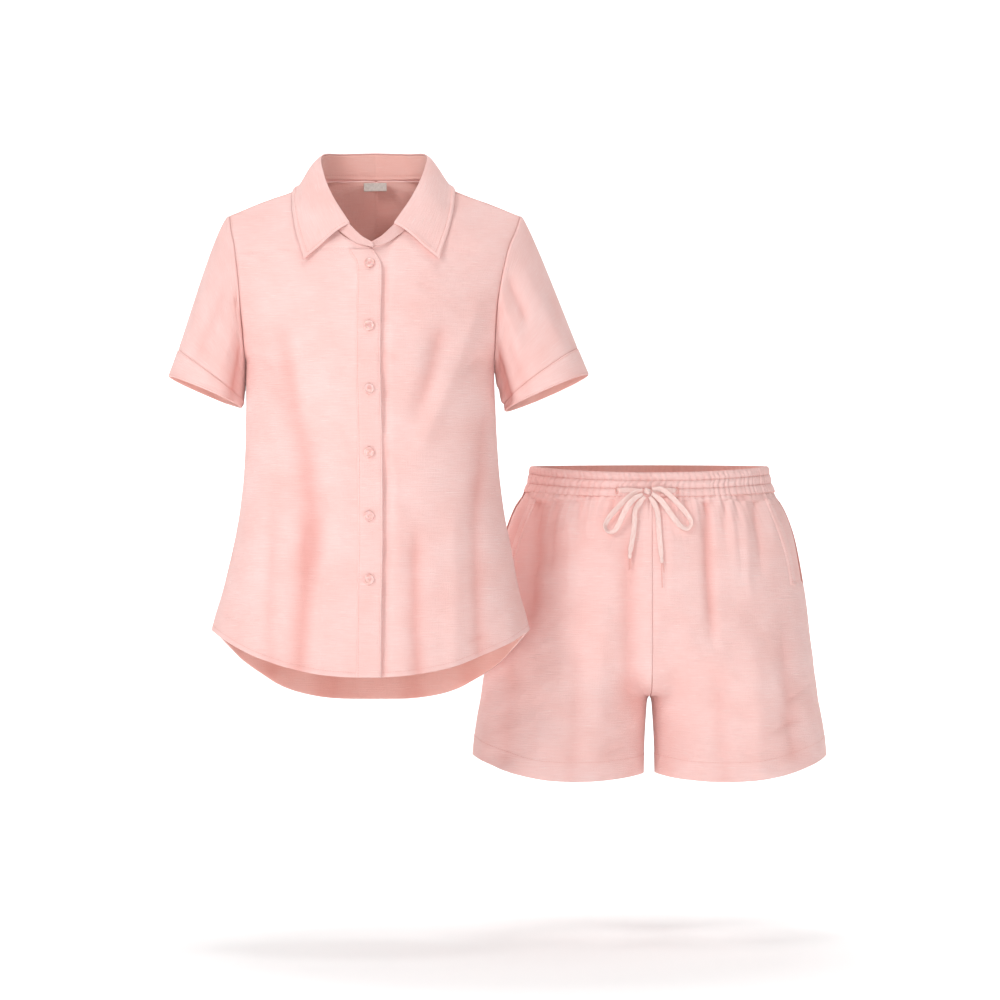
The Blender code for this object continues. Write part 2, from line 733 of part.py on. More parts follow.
def build_waistband(cloth):
    """Three elastic channels: the outer wall is gathered, the inner one plain."""
    around = GATHERS * 2
    turn = np.arange(around) / around * 2 * math.pi
    table = through(WAIST_ROWS, 2)
    side_ease = SIDE_EASE + (1 - SIDE_EASE) * np.abs(np.cos(turn))
    wave = 0.5 + 0.5 * np.cos(GATHERS * turn)
    rings = [waist_point(table[-1], turn), waist_point(table[0], turn)]
    for index, row in enumerate(table):
        ring = waist_point(row, turn)
        away = np.stack([np.sin(turn) / row[0], -np.cos(turn) / row[1], 0 * turn], axis=-1)
        away /= np.linalg.norm(away, axis=-1, keepdims=True)
        puffed = index % 2
        puff = CHANNEL_PUFF if puffed else CHANNEL_SEAM
        lift = BAND + (puff + GATHER_HEIGHT * wave * (1 + puffed) / 2) * side_ease
        rings.append(ring + away * lift[:, None])
    points = np.vstack(rings)
    faces = []
    for low in range(len(rings)):
        high = (low + 1) % len(rings)
        for c in range(around):
            n = (c + 1) % around
            faces.append([low * around + c, low * around + n, high * around + n, high * around + c])
    add_mesh("waistband", points, faces, cloth)


def shorts_front(x, z):
    """How far forward the shorts' outer face lies at a place near the middle of the front."""
    waist = [(row[2], row[0], row[1] + BAND + CHANNEL_PUFF + GATHER_HEIGHT) for row in WAIST_ROWS]
    legs = [(row[4], row[1], row[2] + CLOTH) for row in SHORTS_ROWS[9:]]
    rows = np.array(legs[:-1] + waist)
    half = np.interp(z, rows[:, 0], rows[:, 1])
    depth = np.interp(z, rows[:, 0], rows[:, 2])
    return SHORTS_Y - depth * math.sqrt(1 - (x / half) ** 2)


def on_shorts(x, z, lift):
    return SHORTS_X + x, shorts_front(x, z) - lift, z


def add_cord(name, rows, cloth):
    """A tube along a route that lies on the shorts' front."""
    made = bpy.data.curves.new(name, "CURVE")
    made.dimensions = "3D"
    made.bevel_depth = CORD_RADIUS / 1000
    made.bevel_resolution = 2
    made.use_fill_caps = True
    path = [on_shorts(*row) for row in rows]
    line = made.splines.new("POLY")
    line.points.add(len(path) - 1)
    for point, place in zip(line.points, path):
        point.co = (*(value / 1000 for value in place), 1)
    made.materials.append(cloth)
    bpy.context.scene.collection.objects.link(bpy.data.objects.new(name, made))


def build_drawstring(tape):
    for name, rows in (
        ("bow_right", BOW_RIGHT),
        ("bow_left", BOW_LEFT),
        ("tail_right", TAIL_RIGHT),
        ("tail_left", TAIL_LEFT),
    ):
        add_cord(f"drawstring_{name}", rows, tape)
    for name, (first, last) in LEADS.items():
        x = np.linspace(first, last, 5)
        rows = []
        for z in (LEAD_Z - TAPE_WIDTH / 2, LEAD_Z + TAPE_WIDTH / 2):
            rows.append([on_shorts(value, z, SEAM) for value in x])
        low = np.array(rows)
        wall(f"drawstring_lead_{name}", [(low, low - np.array([0, TAPE_THICK / 2, 0]))], tape)
    shape = bmesh.new()
    bmesh.ops.create_icosphere(shape, subdivisions=2, radius=1)
    points = [
        [a + b * size for a, b, size in zip(on_shorts(*KNOT), vertex.co, KNOT_SIZE)]
        for vertex in shape.verts
    ]
    faces = [[vertex.index for vertex in face.verts] for face in shape.faces]
    shape.free()
    add_mesh("drawstring_knot", points, faces, tape)


def on_panel(grid, x, z):
    """The point of a shorts panel at this place across and height."""
    line = []
    for column in range(grid.shape[1]):
        heights = grid[:, column, 2]
        line.append([np.interp(z, heights, grid[:, column, axis]) for axis in (0, 1)])
    line = np.array(line)
    order = np.argsort(line[:, 0])
    return np.array([x, np.interp(x, line[order, 0], line[order, 1]), z])


def build_pockets(cloth, panels):
    """The turned pocket edges lie on the fronts, made from their points and moved out."""
    for side, hand in ((-1, "right"), (1, "left")):
        grid, away = panels["front", hand]
        outer = grid + CLOTH * away
        low = []
        for x, z in through(POCKET_ROWS, 3):
            places = SHORTS_X + side * (x + np.linspace(-POCKET_EDGE, 0, 3))
            low.append([on_panel(outer, place, z) for place in places])
        low = np.array(low)
        out = square_out(low)
        out *= np.sign(out[..., :1] * side)
        low = low + POCKET_LIFT * out
        wall(f"pocket_edge_{hand}", [(low, low + PLACKET_SKIN * out)], cloth)


def build_all():
    clear_scene()
    cloth = finish("pink_slub_linen", (0.90, 0.55, 0.50), 0.85)
    shell = finish("pink_button", (0.90, 0.62, 0.58), 0.35)
    ribbon = finish("label_ribbon", (0.62, 0.57, 0.54), 0.6)
    body = build_shirt_body(cloth)
    build_sleeves(cloth)
    build_collar(cloth, body)
    top = build_placket(cloth, body[0])
    build_buttons(shell, top)
    build_label(ribbon)
    panels = build_shorts(cloth)
    build_waistband(cloth)
    build_pockets(cloth, panels)
    build_drawstring(cloth)


build_all()
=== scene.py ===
"""The pink linen shirt and drawstring shorts, filled out as if worn, with weave, seams and folds.

Tables hold millimetres and the meshes metres. The fronts face -Y, +Z is up, and the origin
lies between the shirt's shoulder seams. Side -1 is the wearer's right, at the picture's left,
and side 1 the wearer's left; face -1 is a front and face 1 a back.
"""
import bpy
import math
import numpy as np
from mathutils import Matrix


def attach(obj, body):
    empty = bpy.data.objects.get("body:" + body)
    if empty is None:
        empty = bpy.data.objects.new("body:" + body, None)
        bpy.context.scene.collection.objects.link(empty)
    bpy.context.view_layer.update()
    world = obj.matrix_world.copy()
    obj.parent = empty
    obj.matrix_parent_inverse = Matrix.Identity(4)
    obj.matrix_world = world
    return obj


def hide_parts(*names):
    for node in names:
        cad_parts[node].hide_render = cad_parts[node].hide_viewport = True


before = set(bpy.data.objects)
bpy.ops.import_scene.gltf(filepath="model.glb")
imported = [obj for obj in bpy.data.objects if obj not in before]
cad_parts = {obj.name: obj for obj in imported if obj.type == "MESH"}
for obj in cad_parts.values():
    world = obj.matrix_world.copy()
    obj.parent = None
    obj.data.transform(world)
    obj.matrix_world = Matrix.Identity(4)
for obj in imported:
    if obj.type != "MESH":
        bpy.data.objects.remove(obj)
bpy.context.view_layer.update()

SEED = 11
random = np.random.default_rng(SEED)


# Camera and drawstring

CAMERA_PLACE = (0.16835, -5.0, -0.403)
CAMERA_LENS = 138.46
CAMERA_SENSOR = 36.0

# Shorts, which stand behind and beside the shirt
SHORTS_X = 368.0
SHORTS_Y = 150.0
TAPE_WIDTH = 7.0
TAPE_THICK = 1.5

# Drawstring routes from the knot, sideways from the shorts' centre, height, lift off the cloth
BOW_RIGHT = (
    # x, z, lift
    (-12.7, -390, 6.8),
    (-21, -392.5, 8),
    (-30, -398, 9),
    (-41, -408, 9),
    (-51, -419, 8),
    (-58, -428, 7),
    (-62, -437, 6),
    (-59, -444, 6),
    (-51, -444, 7),
    (-45, -436, 9),
    (-39, -423, 11),
    (-31, -409, 12),
    (-22, -400, 10.5),
    (-12.7, -395.5, 8),
)
BOW_LEFT = (
    # x, z, lift
    (-0.3, -388.5, 6.8),
    (11, -388.5, 8),
    (22, -396, 9),
    (33, -407, 9),
    (42, -417, 8),
    (49, -427, 7),
    (51, -435, 6),
    (46, -440.5, 6),
    (38, -438, 7),
    (31, -431, 9),
    (23, -420, 11),
    (14, -407, 12),
    (6, -399, 10.5),
    (-0.3, -394.5, 8),
)
TAIL_RIGHT = (
    # x, z, lift
    (-9.5, -398.6, 6.5),
    (-16, -405.5, 4.5),
    (-22.5, -417, 3.4),
    (-23.5, -432, 3.4),
    (-25, -446, 3.4),
    (-27.5, -460, 3.4),
    (-30, -476, 3.4),
    (-30, -494, 3.4),
)
TAIL_LEFT = (
    # x, z, lift
    (-3.5, -398.6, 6.5),
    (1.8, -406.5, 4.5),
    (6.5, -418, 3.4),
    (8, -434, 3.4),
    (9, -450, 3.4),
    (10.5, -466, 3.4),
    (12, -488, 3.4),
    (13, -513, 3.4),
)
KNOT = (-6.5, -391.5, 7.5)
KNOT_SIZE = (5.6, 5.6, 4.6)
LEADS = {"right": (-46, -13.5), "left": (33, 1.0)}
LEAD_Z = -390.5

# Shorts' outer face near the middle of the front, from below the pockets to the waist
FRONT_FACE = (
    # z, half width, half depth
    (-538, 208.5, 122.6),
    (-494, 202, 120.6),
    (-450, 193, 113.6),
    (-417, 180, 105.6),
    (-399.5, 165, 101.3),
    (-388.5, 160, 98.3),
    (-377.5, 157.5, 96.8),
    (-366.5, 155.5, 95.8),
)


def add_object(name, data):
    made = bpy.data.objects.new(name, data)
    bpy.context.scene.collection.objects.link(made)
    return made


def place_camera():
    camera = bpy.data.cameras.new("camera")
    camera.lens = CAMERA_LENS
    camera.sensor_width = CAMERA_SENSOR
    camera.clip_end = 50
    made = add_object("camera", camera)
    made.location = CAMERA_PLACE
    made.rotation_euler = (math.radians(90), 0, 0)
    bpy.context.scene.camera = made


def smoothstep(low, high, value):
    t = np.clip((value - low) / (high - low), 0, 1)
    return t * t * (3 - 2 * t)


def bell(distance, width):
    return np.exp(-((distance / width) ** 2))


def unit(vectors):
    return vectors / np.maximum(np.linalg.norm(vectors, axis=-1, keepdims=True), 1e-9)


def curve_at(rows, places):
    """The smooth curve through a table's rows, at places counted in rows."""
    rows = np.array(rows, float)
    ends = np.vstack([2 * rows[0] - rows[1], rows, 2 * rows[-1] - rows[-2]])
    places = np.clip(places, 0, len(rows) - 1)
    first = np.minimum(places.astype(int), len(rows) - 2)
    t = (places - first)[:, None]
    a, b, c, d = (ends[first + k] for k in range(4))
    return 0.5 * (
        2 * b
        + (c - a) * t
        + (2 * a - 5 * b + 4 * c - d) * t * t
        + (3 * b - 3 * c + d - a) * t**3
    )


def reach_of(points):
    """Running length along a line of points."""
    steps = np.linalg.norm(np.diff(points, axis=0), axis=-1)
    return np.concatenate([[0], np.cumsum(steps)])


def joined_spans(*spans):
    """One rising row of values, from spans of start, end and count that each begin where the
    last one ends."""
    parts = [np.linspace(*span) for span in spans]
    return np.concatenate([part[:-1] for part in parts[:-1]] + parts[-1:])


def run_along(grid, axis, far=False):
    """Distance along a grid's rows or columns, from their first end or their far one."""
    grid = np.flip(grid, axis) if far else grid
    steps = np.diff(grid, axis=axis, prepend=np.take(grid, [0], axis=axis))
    run = np.cumsum(np.linalg.norm(steps, axis=-1), axis=axis)
    return np.flip(run, axis) if far else run


def spaced(points, count):
    """The same line with this many points, evenly apart."""
    reach = reach_of(points)
    wanted = np.linspace(0, reach[-1], count)
    return np.stack([np.interp(wanted, reach, points[:, k]) for k in range(3)], axis=1)


def add_piece(name, points, faces, material, grain=None, painted_shade=None):
    """A mesh from points in millimetres. Grain is its place in the cloth in millimetres, for
    the weave; painted_shade runs from 0 on open cloth to 1 deep in a fold, where the linen
    paints a deeper coral as painted shade."""
    mesh = bpy.data.meshes.new(name)
    points = np.asarray(points, float)
    mesh.from_pydata((points / 1000).tolist(), [], [list(face) for face in faces])
    if grain is not None:
        corners = np.empty(len(mesh.loops), np.int32)
        mesh.loops.foreach_get("vertex_index", corners)
        layer = mesh.uv_layers.new(name="grain")
        layer.data.foreach_set("uv", (np.asarray(grain)[corners] / 1000).ravel())
    if painted_shade is not None:
        layer = mesh.attributes.new("painted_shade", "FLOAT", "POINT")
        layer.data.foreach_set("value", np.asarray(painted_shade, float))
    mesh.materials.append(material)
    mesh.shade_smooth()
    mesh.validate()
    made = add_object(name, mesh)
    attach(made, "root")
    return made


# Materials

def linear(code, alpha=1.0):
    """A colour such as #F6CBC5 as the linear values a shader takes."""
    parts = [int(code[k : k + 2], 16) / 255 for k in (1, 3, 5)]
    return tuple(c / 12.92 if c <= 0.04045 else ((c + 0.055) / 1.055) ** 2.4 for c in parts) + (alpha,)


class Finish:
    """A material on a Principled shader, with its nodes added one call at a time."""

    def __init__(self, name, roughness):
        self.material = bpy.data.materials.new(name)
        self.material.use_nodes = True
        self.tree = self.material.node_tree
        self.shader = self.tree.nodes["Principled BSDF"]
        self.set(Roughness=roughness, IOR=1.45)

    def set(self, **inputs):
        """Sets or links the shader's inputs, with _ for the spaces in their names."""
        for key, value in inputs.items():
            self.feed(self.shader.inputs[key.replace("_", " ")], value)

    def node(self, kind, settings=None, **inputs):
        """Adds a node. A tuple of (node, output) is linked, anything else set as its value."""
        made = self.tree.nodes.new(kind)
        for key, value in (settings or {}).items():
            setattr(made, key, value)
        for key, value in inputs.items():
            self.feed(made.inputs[int(key[1:]) if key[0] == "_" else key.replace("_", " ")], value)
        return made

    def feed(self, socket, value):
        if isinstance(value, bpy.types.NodeSocket):
            self.tree.links.new(value, socket)
        else:
            socket.default_value = value

    def mix(self, share, low, high, blend="MIX"):
        made = self.node("ShaderNodeMix", {"data_type": "RGBA", "blend_type": blend}, _0=share)
        self.feed(made.inputs[6], low)
        self.feed(made.inputs[7], high)
        return made.outputs[2]

    def noise(self, place, size, detail=2.0, rough=0.5, stretch=(1, 1, 1)):
        """Noise whose patches are about this many millimetres across, times the stretch."""
        scale = [1000 / (size * part) for part in stretch]
        laid = self.node("ShaderNodeMapping", None, Vector=place, Scale=scale)
        made = self.node("ShaderNodeTexNoise", None, Vector=laid.outputs[0], Scale=1.0,
                         Detail=detail, Roughness=rough)
        return made.outputs["Fac"]

    def ribs(self, place, apart, along, sway=1.0):
        """Rounded ridges this many millimetres apart, counted along one axis of the place."""
        turns = 1000 / apart * 2 * math.pi / 20
        made = self.node("ShaderNodeTexWave", {"bands_direction": along}, Vector=place,
                         Scale=turns, Distortion=sway, Detail=1.0, Detail_Scale=0.6)
        return made.outputs["Fac"]

    def span(self, value, low, high, start=0.0, end=1.0):
        """Values between low and high spread over start to end, and held beyond them."""
        made = self.node("ShaderNodeMapRange", None, _0=value, _1=low, _2=high, _3=start, _4=end)
        return made.outputs[0]

    def sum(self, first, second, how="ADD"):
        return self.node("ShaderNodeMath", {"operation": how}, _0=first, _1=second).outputs[0]

    def bump(self, height, depth):
        """Depth in millimetres between the height's 0 and 1."""
        made = self.node("ShaderNodeBump", None, Strength=1.0, Distance=depth / 1000, Height=height)
        self.set(Normal=made.outputs[0])


def linen(name, light, warm, deep):
    """Washed linen blend: matt yarns of uneven thickness. Slubs draw short pale and dark
    streaks along the weft, the dye takes in soft clouds, and a deeper coral is painted into
    folds, seams and hollows as painted shade, after the mesh's painted_shade attribute."""
    cloth = Finish(name, 0.88)
    grain = cloth.node("ShaderNodeTexCoord").outputs["UV"]
    painted_shade = cloth.node("ShaderNodeAttribute", {"attribute_name": "painted_shade"}).outputs["Fac"]
    clouds = cloth.noise(grain, 60, 3, 0.55, (1.3, 1, 1))
    streaks = cloth.noise(grain, 1.5, 2, 0.6, (16, 1, 1))
    slubs = cloth.noise(grain, 2.2, 1, 0.5, (9, 1, 1))
    warp = cloth.noise(grain, 1.6, 1, 0.5, (1, 12, 1))
    colour = cloth.mix(cloth.span(clouds, 0.25, 0.75, 0.0, 0.6), linear(light), linear(warm))
    colour = cloth.mix(cloth.span(streaks, 0.35, 0.7, 0.0, 0.30), colour, linear(warm))
    colour = cloth.mix(cloth.span(slubs, 0.64, 0.76, 0.0, 0.22), colour, linear("#FFEFEC"))
    # Painted shade: the deep colour is mixed in where the painted_shade attribute marks folds, seams and
    # hollows
    colour = cloth.mix(cloth.span(painted_shade, 0.0, 1.0, 0.0, 0.45), colour, linear(deep))
    # Real yarns lie 0.5 mm apart, too fine to show here, so the weave is drawn at twice that
    weave = cloth.sum(cloth.ribs(grain, 1.0, "Y"), cloth.ribs(grain, 1.1, "X"), "MULTIPLY")
    height = cloth.sum(cloth.sum(weave, 0.35, "MULTIPLY"), cloth.sum(streaks, 1.1, "MULTIPLY"))
    height = cloth.sum(height, cloth.sum(cloth.span(slubs, 0.6, 0.78), 0.5, "MULTIPLY"))
    height = cloth.sum(height, cloth.sum(warp, 0.45, "MULTIPLY"))
    cloth.bump(height, 0.42)
    cloth.set(Base_Color=colour, Sheen_Weight=0.35, Sheen_Roughness=0.45,
              Sheen_Tint=linear("#FFE9E4"), Specular_IOR_Level=0.25)
    return cloth.material


def woven_tape(name, colour, edge):
    """A narrow tie of the same cloth: close ribs across it and a soft nap."""
    tape = Finish(name, 0.8)
    grain = tape.node("ShaderNodeTexCoord").outputs["UV"]
    ribs = tape.ribs(grain, 0.95, "Y")
    fuzz = tape.noise(grain, 2.5, 2, 0.6, (1, 3, 1))
    shade = tape.mix(tape.span(fuzz, 0.35, 0.7, 0.0, 0.5), linear(colour), linear(edge))
    tape.set(Base_Color=shade, Sheen_Weight=0.3)
    tape.bump(tape.sum(ribs, fuzz), 0.22)
    return tape.material


def button_shell(name):
    """Cast polyester shirt button: pale pink, softly glossy, with a faint pearl cloud."""
    shell = Finish(name, 0.28)
    place = shell.node("ShaderNodeTexCoord").outputs["Object"]
    cloud = shell.noise(place, 5, 2, 0.5)
    colour = shell.mix(shell.span(cloud, 0.35, 0.65), linear("#F3CEC9"), linear("#E4AEA6"))
    shell.bump(cloud, 0.05)
    shell.set(Base_Color=colour, Coat_Weight=0.3, Coat_Roughness=0.15, Subsurface_Weight=0.15,
              Subsurface_Scale=0.002)
    return shell.material


def label_ribbon(name):
    """Bare grey-white satin ribbon: fine ribs across and a slight shine."""
    ribbon = Finish(name, 0.5)
    grain = ribbon.node("ShaderNodeTexCoord").outputs["UV"]
    ribs = ribbon.ribs(grain, 0.75, "Y", 0.6)
    dust = ribbon.noise(grain, 4, 2, 0.6)
    colour = ribbon.mix(ribbon.span(dust, 0.3, 0.7), linear("#DCD3CC"), linear("#C6BCB4"))
    ribbon.set(Base_Color=colour, Sheen_Weight=0.2)
    ribbon.bump(ribs, 0.08)
    return ribbon.material


def sewing_thread(name, colour):
    """Spun polyester thread, a shade deeper than the cloth, lying in its own small pits."""
    thread = Finish(name, 0.6)
    place = thread.node("ShaderNodeTexCoord").outputs["Object"]
    twist = thread.noise(place, 0.6, 1, 0.5)
    shade = thread.mix(thread.span(twist, 0.3, 0.7), linear(colour), linear("#F3BFB6"))
    thread.set(Base_Color=shade)
    thread.bump(twist, 0.05)
    return thread.material


# The last colour of each linen is the painted shade for folds, seams and hollows
CLOTH_FINISH = linen("pink_slub_linen", "#F9D6D2", "#F1B9B1", "#D86F60")
# The inside copy's colours are painted: a warmer, more saturated coral than the outside, standing in for
# light bouncing between the pink inner faces
INSIDE_PAINTED_BOUNCE_FINISH = linen("pink_linen_inside_painted_bounce", "#FACDC4", "#F4B2A5", "#DC7F6E")
TAPE_FINISH = woven_tape("linen_tie", "#FCE0DA", "#F3C0B6")
BUTTON_FINISH = button_shell("pink_button")
RIBBON_FINISH = label_ribbon("label_ribbon")
THREAD_FINISH = sewing_thread("pink_thread", "#E2998D")


# Cloth shapes

CLOTH = 1.6
BAND = 2.2
SEAM = 0.4
HAIR = 0.3
LAYER = CLOTH + SEAM


def grid_cells(rows, columns, closed):
    across = columns if closed else columns - 1
    r, c = np.meshgrid(np.arange(rows - 1), np.arange(across), indexing="ij")
    n = (c + 1) % columns
    cells = np.stack([r * columns + c, r * columns + n, (r + 1) * columns + n, (r + 1) * columns + c], -1)
    return cells.reshape(-1, 4)


def tube_faces(count, around, first=0):
    """Faces of a row of rings, with both ends closed."""
    faces = [tuple(cell) for cell in grid_cells(count, around, True) + first]
    faces.append(tuple(first + k for k in range(around - 1, -1, -1)))
    faces.append(tuple(first + (count - 1) * around + k for k in range(around)))
    return faces


def grid_normals(grid, closed=False):
    if closed:
        across = np.roll(grid, -1, axis=1) - np.roll(grid, 1, axis=1)
    else:
        across = np.gradient(grid, axis=1)
    return unit(np.cross(np.gradient(grid, axis=0), across))


def facing(away, toward):
    """Normals turned, as a whole, to the side that the second vectors point to."""
    return away * np.sign((away * toward).sum())


def grain_of(grid):
    """Place in the cloth in millimetres: along each row from its middle, and up the grid."""
    u = run_along(grid, 1)
    v = reach_of(grid[:, grid.shape[1] // 2])[:, None] + 0 * u
    return np.stack([u - u.mean(axis=1, keepdims=True), v], axis=-1)


def half_grain(grid, side):
    """Place in the cloth for a half panel: sideways from the mid-line, and its height."""
    u = np.abs(grid[:, :1, 0]) + run_along(grid, 1)
    return np.stack([side * u, grid[..., 2]], axis=-1)


def shell(name, sheets, outside, slot="linen", inside=None, closed=False):
    """A thin closed wall. Each sheet is its inner and outer grid, place in the cloth and painted
    shade; sheets are joined where they meet, and all free edges are closed."""
    lows, highs, grains, painted_shades, cells = [], [], [], [], []
    count = 0
    for low, high, grain, painted_shade in sheets:
        found = grid_cells(*low.shape[:2], closed)
        turned = np.cross(low[1:, 1:] - low[:-1, :-1], low[1:, :-1] - low[:-1, 1:])
        if (turned * (high - low)[:-1, :-1]).sum() < 0:
            found = found[:, ::-1]
        cells.append(found + count)
        count += low.shape[0] * low.shape[1]
        lows.append(low.reshape(-1, 3))
        highs.append(high.reshape(-1, 3))
        grains.append(grain.reshape(-1, 2))
        painted_shades.append(np.broadcast_to(painted_shade, low.shape[:2]).ravel())
    lows, highs, cells = np.vstack(lows), np.vstack(highs), np.vstack(cells)
    _, first, same = np.unique(np.round(lows, 3), axis=0, return_index=True, return_inverse=True)
    cells = first[same.reshape(-1)][cells]
    edges = np.stack([cells, np.roll(cells, -1, axis=1)], axis=-1).reshape(-1, 2)
    _, where, uses = np.unique(np.sort(edges, axis=1), axis=0, return_index=True, return_counts=True)
    a, b = edges[where[uses == 1]].T
    rims = np.stack([b + count, a + count, a, b], axis=-1)
    faces = np.vstack([cells[:, ::-1], cells + count, rims])
    painted_shades = np.concatenate(painted_shades)
    # The inner faces get a little painted shade all over, and less of the folds' painted shade
    painted_shades = np.clip(np.concatenate([painted_shades * 0.6 + 0.1, painted_shades]), 0, 1)
    made = add_piece(name, np.vstack([lows, highs]), faces, outside,
                     np.vstack([np.vstack(grains)] * 2), painted_shades)
    if inside:
        made.data.materials.append(inside)
        which = np.zeros(len(faces), np.int32)
        which[: len(cells)] = 1
        made.data.polygons.foreach_set("material_index", which)
    return made


def line_distance(x, z, first, last, bow):
    """Distance from a bowed line in the front's plane, and the share of the way along it."""
    first, last = np.array(first, float), np.array(last, float)
    way = last - first
    length = np.hypot(*way)
    share = ((x - first[0]) * way[0] + (z - first[1]) * way[1]) / length**2
    off = ((x - first[0]) * way[1] - (z - first[1]) * way[0]) / length
    return off - bow * 4 * np.clip(share, 0, 1) * (1 - np.clip(share, 0, 1)), share


def pressed(folds, x, z):
    """Depth pressed in by a table of folds: above 0 in a trough and below 0 on a ridge."""
    depth = np.zeros_like(x)
    for x_top, z_top, x_low, z_low, bow, half, deep, sharp, fade_top, fade_low in folds:
        off, share = line_distance(x, z, (x_top, z_top), (x_low, z_low), bow)
        across = np.exp(-np.abs(off / half) ** sharp)
        along = smoothstep(0, max(fade_top, 1e-3), share) * smoothstep(1, 1 - max(fade_low, 1e-3), share)
        depth += deep * across * along
    return depth


def rumple(x, z, amounts, seed):
    """Small uneven softness: long waves in several ways, summed."""
    waves = np.random.default_rng(seed)
    made = np.zeros_like(x)
    for size, height in amounts:
        for _ in range(5):
            turn = waves.uniform(0, math.pi)
            size_here = size * waves.uniform(0.75, 1.3)
            phase = waves.uniform(0, 2 * math.pi)
            made += height / 2.2 * np.sin(
                2 * math.pi * (x * math.cos(turn) + z * math.sin(turn)) / size_here + phase
            )
    return made


STITCH = 2.4
STITCH_GAP = 0.9
THREAD = 0.42

# How far rows of stitches lie from their edges
CUFF_INSET = 2.4
PLACKET_INSET = 2.6
LEAF_INSET = 5.5


def stitches(name, lines, lift=0.15):
    """Rows of short thread dashes. Each line is its points and the way out at each."""
    points, faces = [], []
    ring = [(math.cos(a), math.sin(a)) for a in np.arange(5) / 5 * 2 * math.pi]
    for line, away in lines:
        line, away = np.asarray(line, float), np.asarray(away, float)
        reach = reach_of(line)
        starts = np.arange(STITCH / 2, reach[-1] - STITCH, STITCH + STITCH_GAP)
        for start in starts:
            places = start + np.array([0, 0.25, 0.75, 1.0]) * STITCH
            spots = np.stack([np.interp(places, reach, line[:, k]) for k in range(3)], 1)
            out = unit(np.array([np.interp(start, reach, away[:, k]) for k in range(3)]))
            ahead = unit(spots[-1] - spots[0])
            side = unit(np.cross(ahead, out))
            first = len(points)
            for spot, size, rise in zip(spots, (0.5, 1, 1, 0.5), (-0.35, 0.1, 0.1, -0.35)):
                for a, b in ring:
                    high = lift + THREAD * (rise + 0.5 * size * b)
                    points.append(spot + out * high + side * THREAD * 0.6 * size * a)
            faces += tube_faces(len(spots), len(ring), first)
    return add_piece(name, points, faces, THREAD_FINISH)


# Shirt

CENTRE_FRONT = 2.5
OVERLAP = 15.5
UNDERLAP = 14.0
PLACKET = 31.5
PLACKET_SKIN = 1.1
BUTTON_DIAMETER = 13.5
BUTTON_SPACING = 80.5
TOP_BUTTON = -101.0
BUTTON_SEAT = 0.9
BUTTONS = 6
BUTTON_SIDES = 56
BUTTON_THREAD = 0.38
HOLE_PLACE = 1.25
HOLE_RADIUS = 0.8
HOLE_SIDES = 16
UNDER_LAP = (21.0, 34.0)
LAP_TOP = (-60.0, -84.0)
COLLAR_LEAN = 4.4

# Sideways shift of the shirt's mid-line at a height
LEAN_ROWS = (
    # z, shift
    (-640, 0.0),
    (-560, 0.3),
    (-450, 2.2),
    (-330, 1.6),
    (-240, -0.5),
    (-150, -0.5),
    (-90, 2.0),
    (-40, 5.5),
    (60, 5.0),
)

# Front from hem to shoulder: where the panel starts, depth and height on the mid-line, outer
# edge, turn of the section in degrees, power of the drop to the side, share of the lap kept
FRONT_ROWS = (
    # x_in, y_mid, z_mid, x_out, y_out, z_out, turn, power, lap
    (0, -128, -628, 205, 0, -571, 90, 2.3, 1.0),
    (0, -127, -598, 200.5, 0, -552, 90, 2.1, 1.0),
    (0, -126, -545, 191, 0, -520, 90, 1.9, 1.0),
    (0, -125, -480, 180, 0, -470, 90, 1.6, 1.0),
    (0, -125, -415, 169, 0, -412, 90, 1.2, 1.0),
    (0, -126, -350, 163, 0, -350, 90, 1.0, 1.0),
    (0, -128, -290, 160.5, 0, -288, 90, 1.0, 1.0),
    (0, -128, -240, 160, 0, -232, 88, 1.0, 1.0),
    (0, -126, -205, 161.5, -27, -208, 74, 1.0, 1.0),
    (0, -120, -168, 163, -45, -176, 64, 1.0, 1.0),
    (0, -111, -130, 166, -52, -142, 58, 1.0, 1.0),
    (0, -101, -102, 170, -50, -112, 54, 1.0, 0.85),
    (0, -93, -84, 174, -45, -90, 52, 1.0, 0.25),
    (34, -84, -66, 178, -36, -72, 50, 1.1, 0.0),
    (58, -57, -29, 184, -20, -54, 48, 1.2, 0.0),
    (72, -4, 19.5, 188.5, 0, -35, 46, 1.45, 0.0),
)
BACK_ROWS = (
    # the front's columns, with no lap
    (0, 122, -668, 205, 0, -571, 90, 3.1, 0),
    (0, 121, -625, 200.5, 0, -552, 90, 2.8, 0),
    (0, 119, -560, 191, 0, -520, 90, 2.2, 0),
    (0, 115, -490, 180, 0, -470, 90, 1.7, 0),
    (0, 112, -418, 169, 0, -412, 90, 1.2, 0),
    (0, 113, -350, 163, 0, -350, 90, 1.0, 0),
    (0, 117, -290, 160.5, 0, -288, 90, 1.0, 0),
    (0, 119, -240, 160, 0, -232, 88, 1.0, 0),
    (0, 119, -200, 162, 23, -208, 76, 1.0, 0),
    (0, 117, -160, 165, 38, -176, 68, 1.0, 0),
    (0, 112, -118, 169, 43, -142, 63, 1.0, 0),
    (0, 104, -78, 173, 42, -112, 60, 1.0, 0),
    (0, 92, -40, 177, 38, -90, 57, 1.0, 0),
    (0, 79, -10, 180, 31, -72, 54, 1.0, 0),
    (0, 62, 14, 184, 20, -54, 50, 1.0, 0),
    (44, 54, 24, 187, 9, -43, 48, 1.35, 0),
    (65, 26, 25, 188.2, 3, -37, 47, 1.4, 0),
    (72, -4, 19.5, 188.5, 0, -35, 46, 1.45, 0),
)

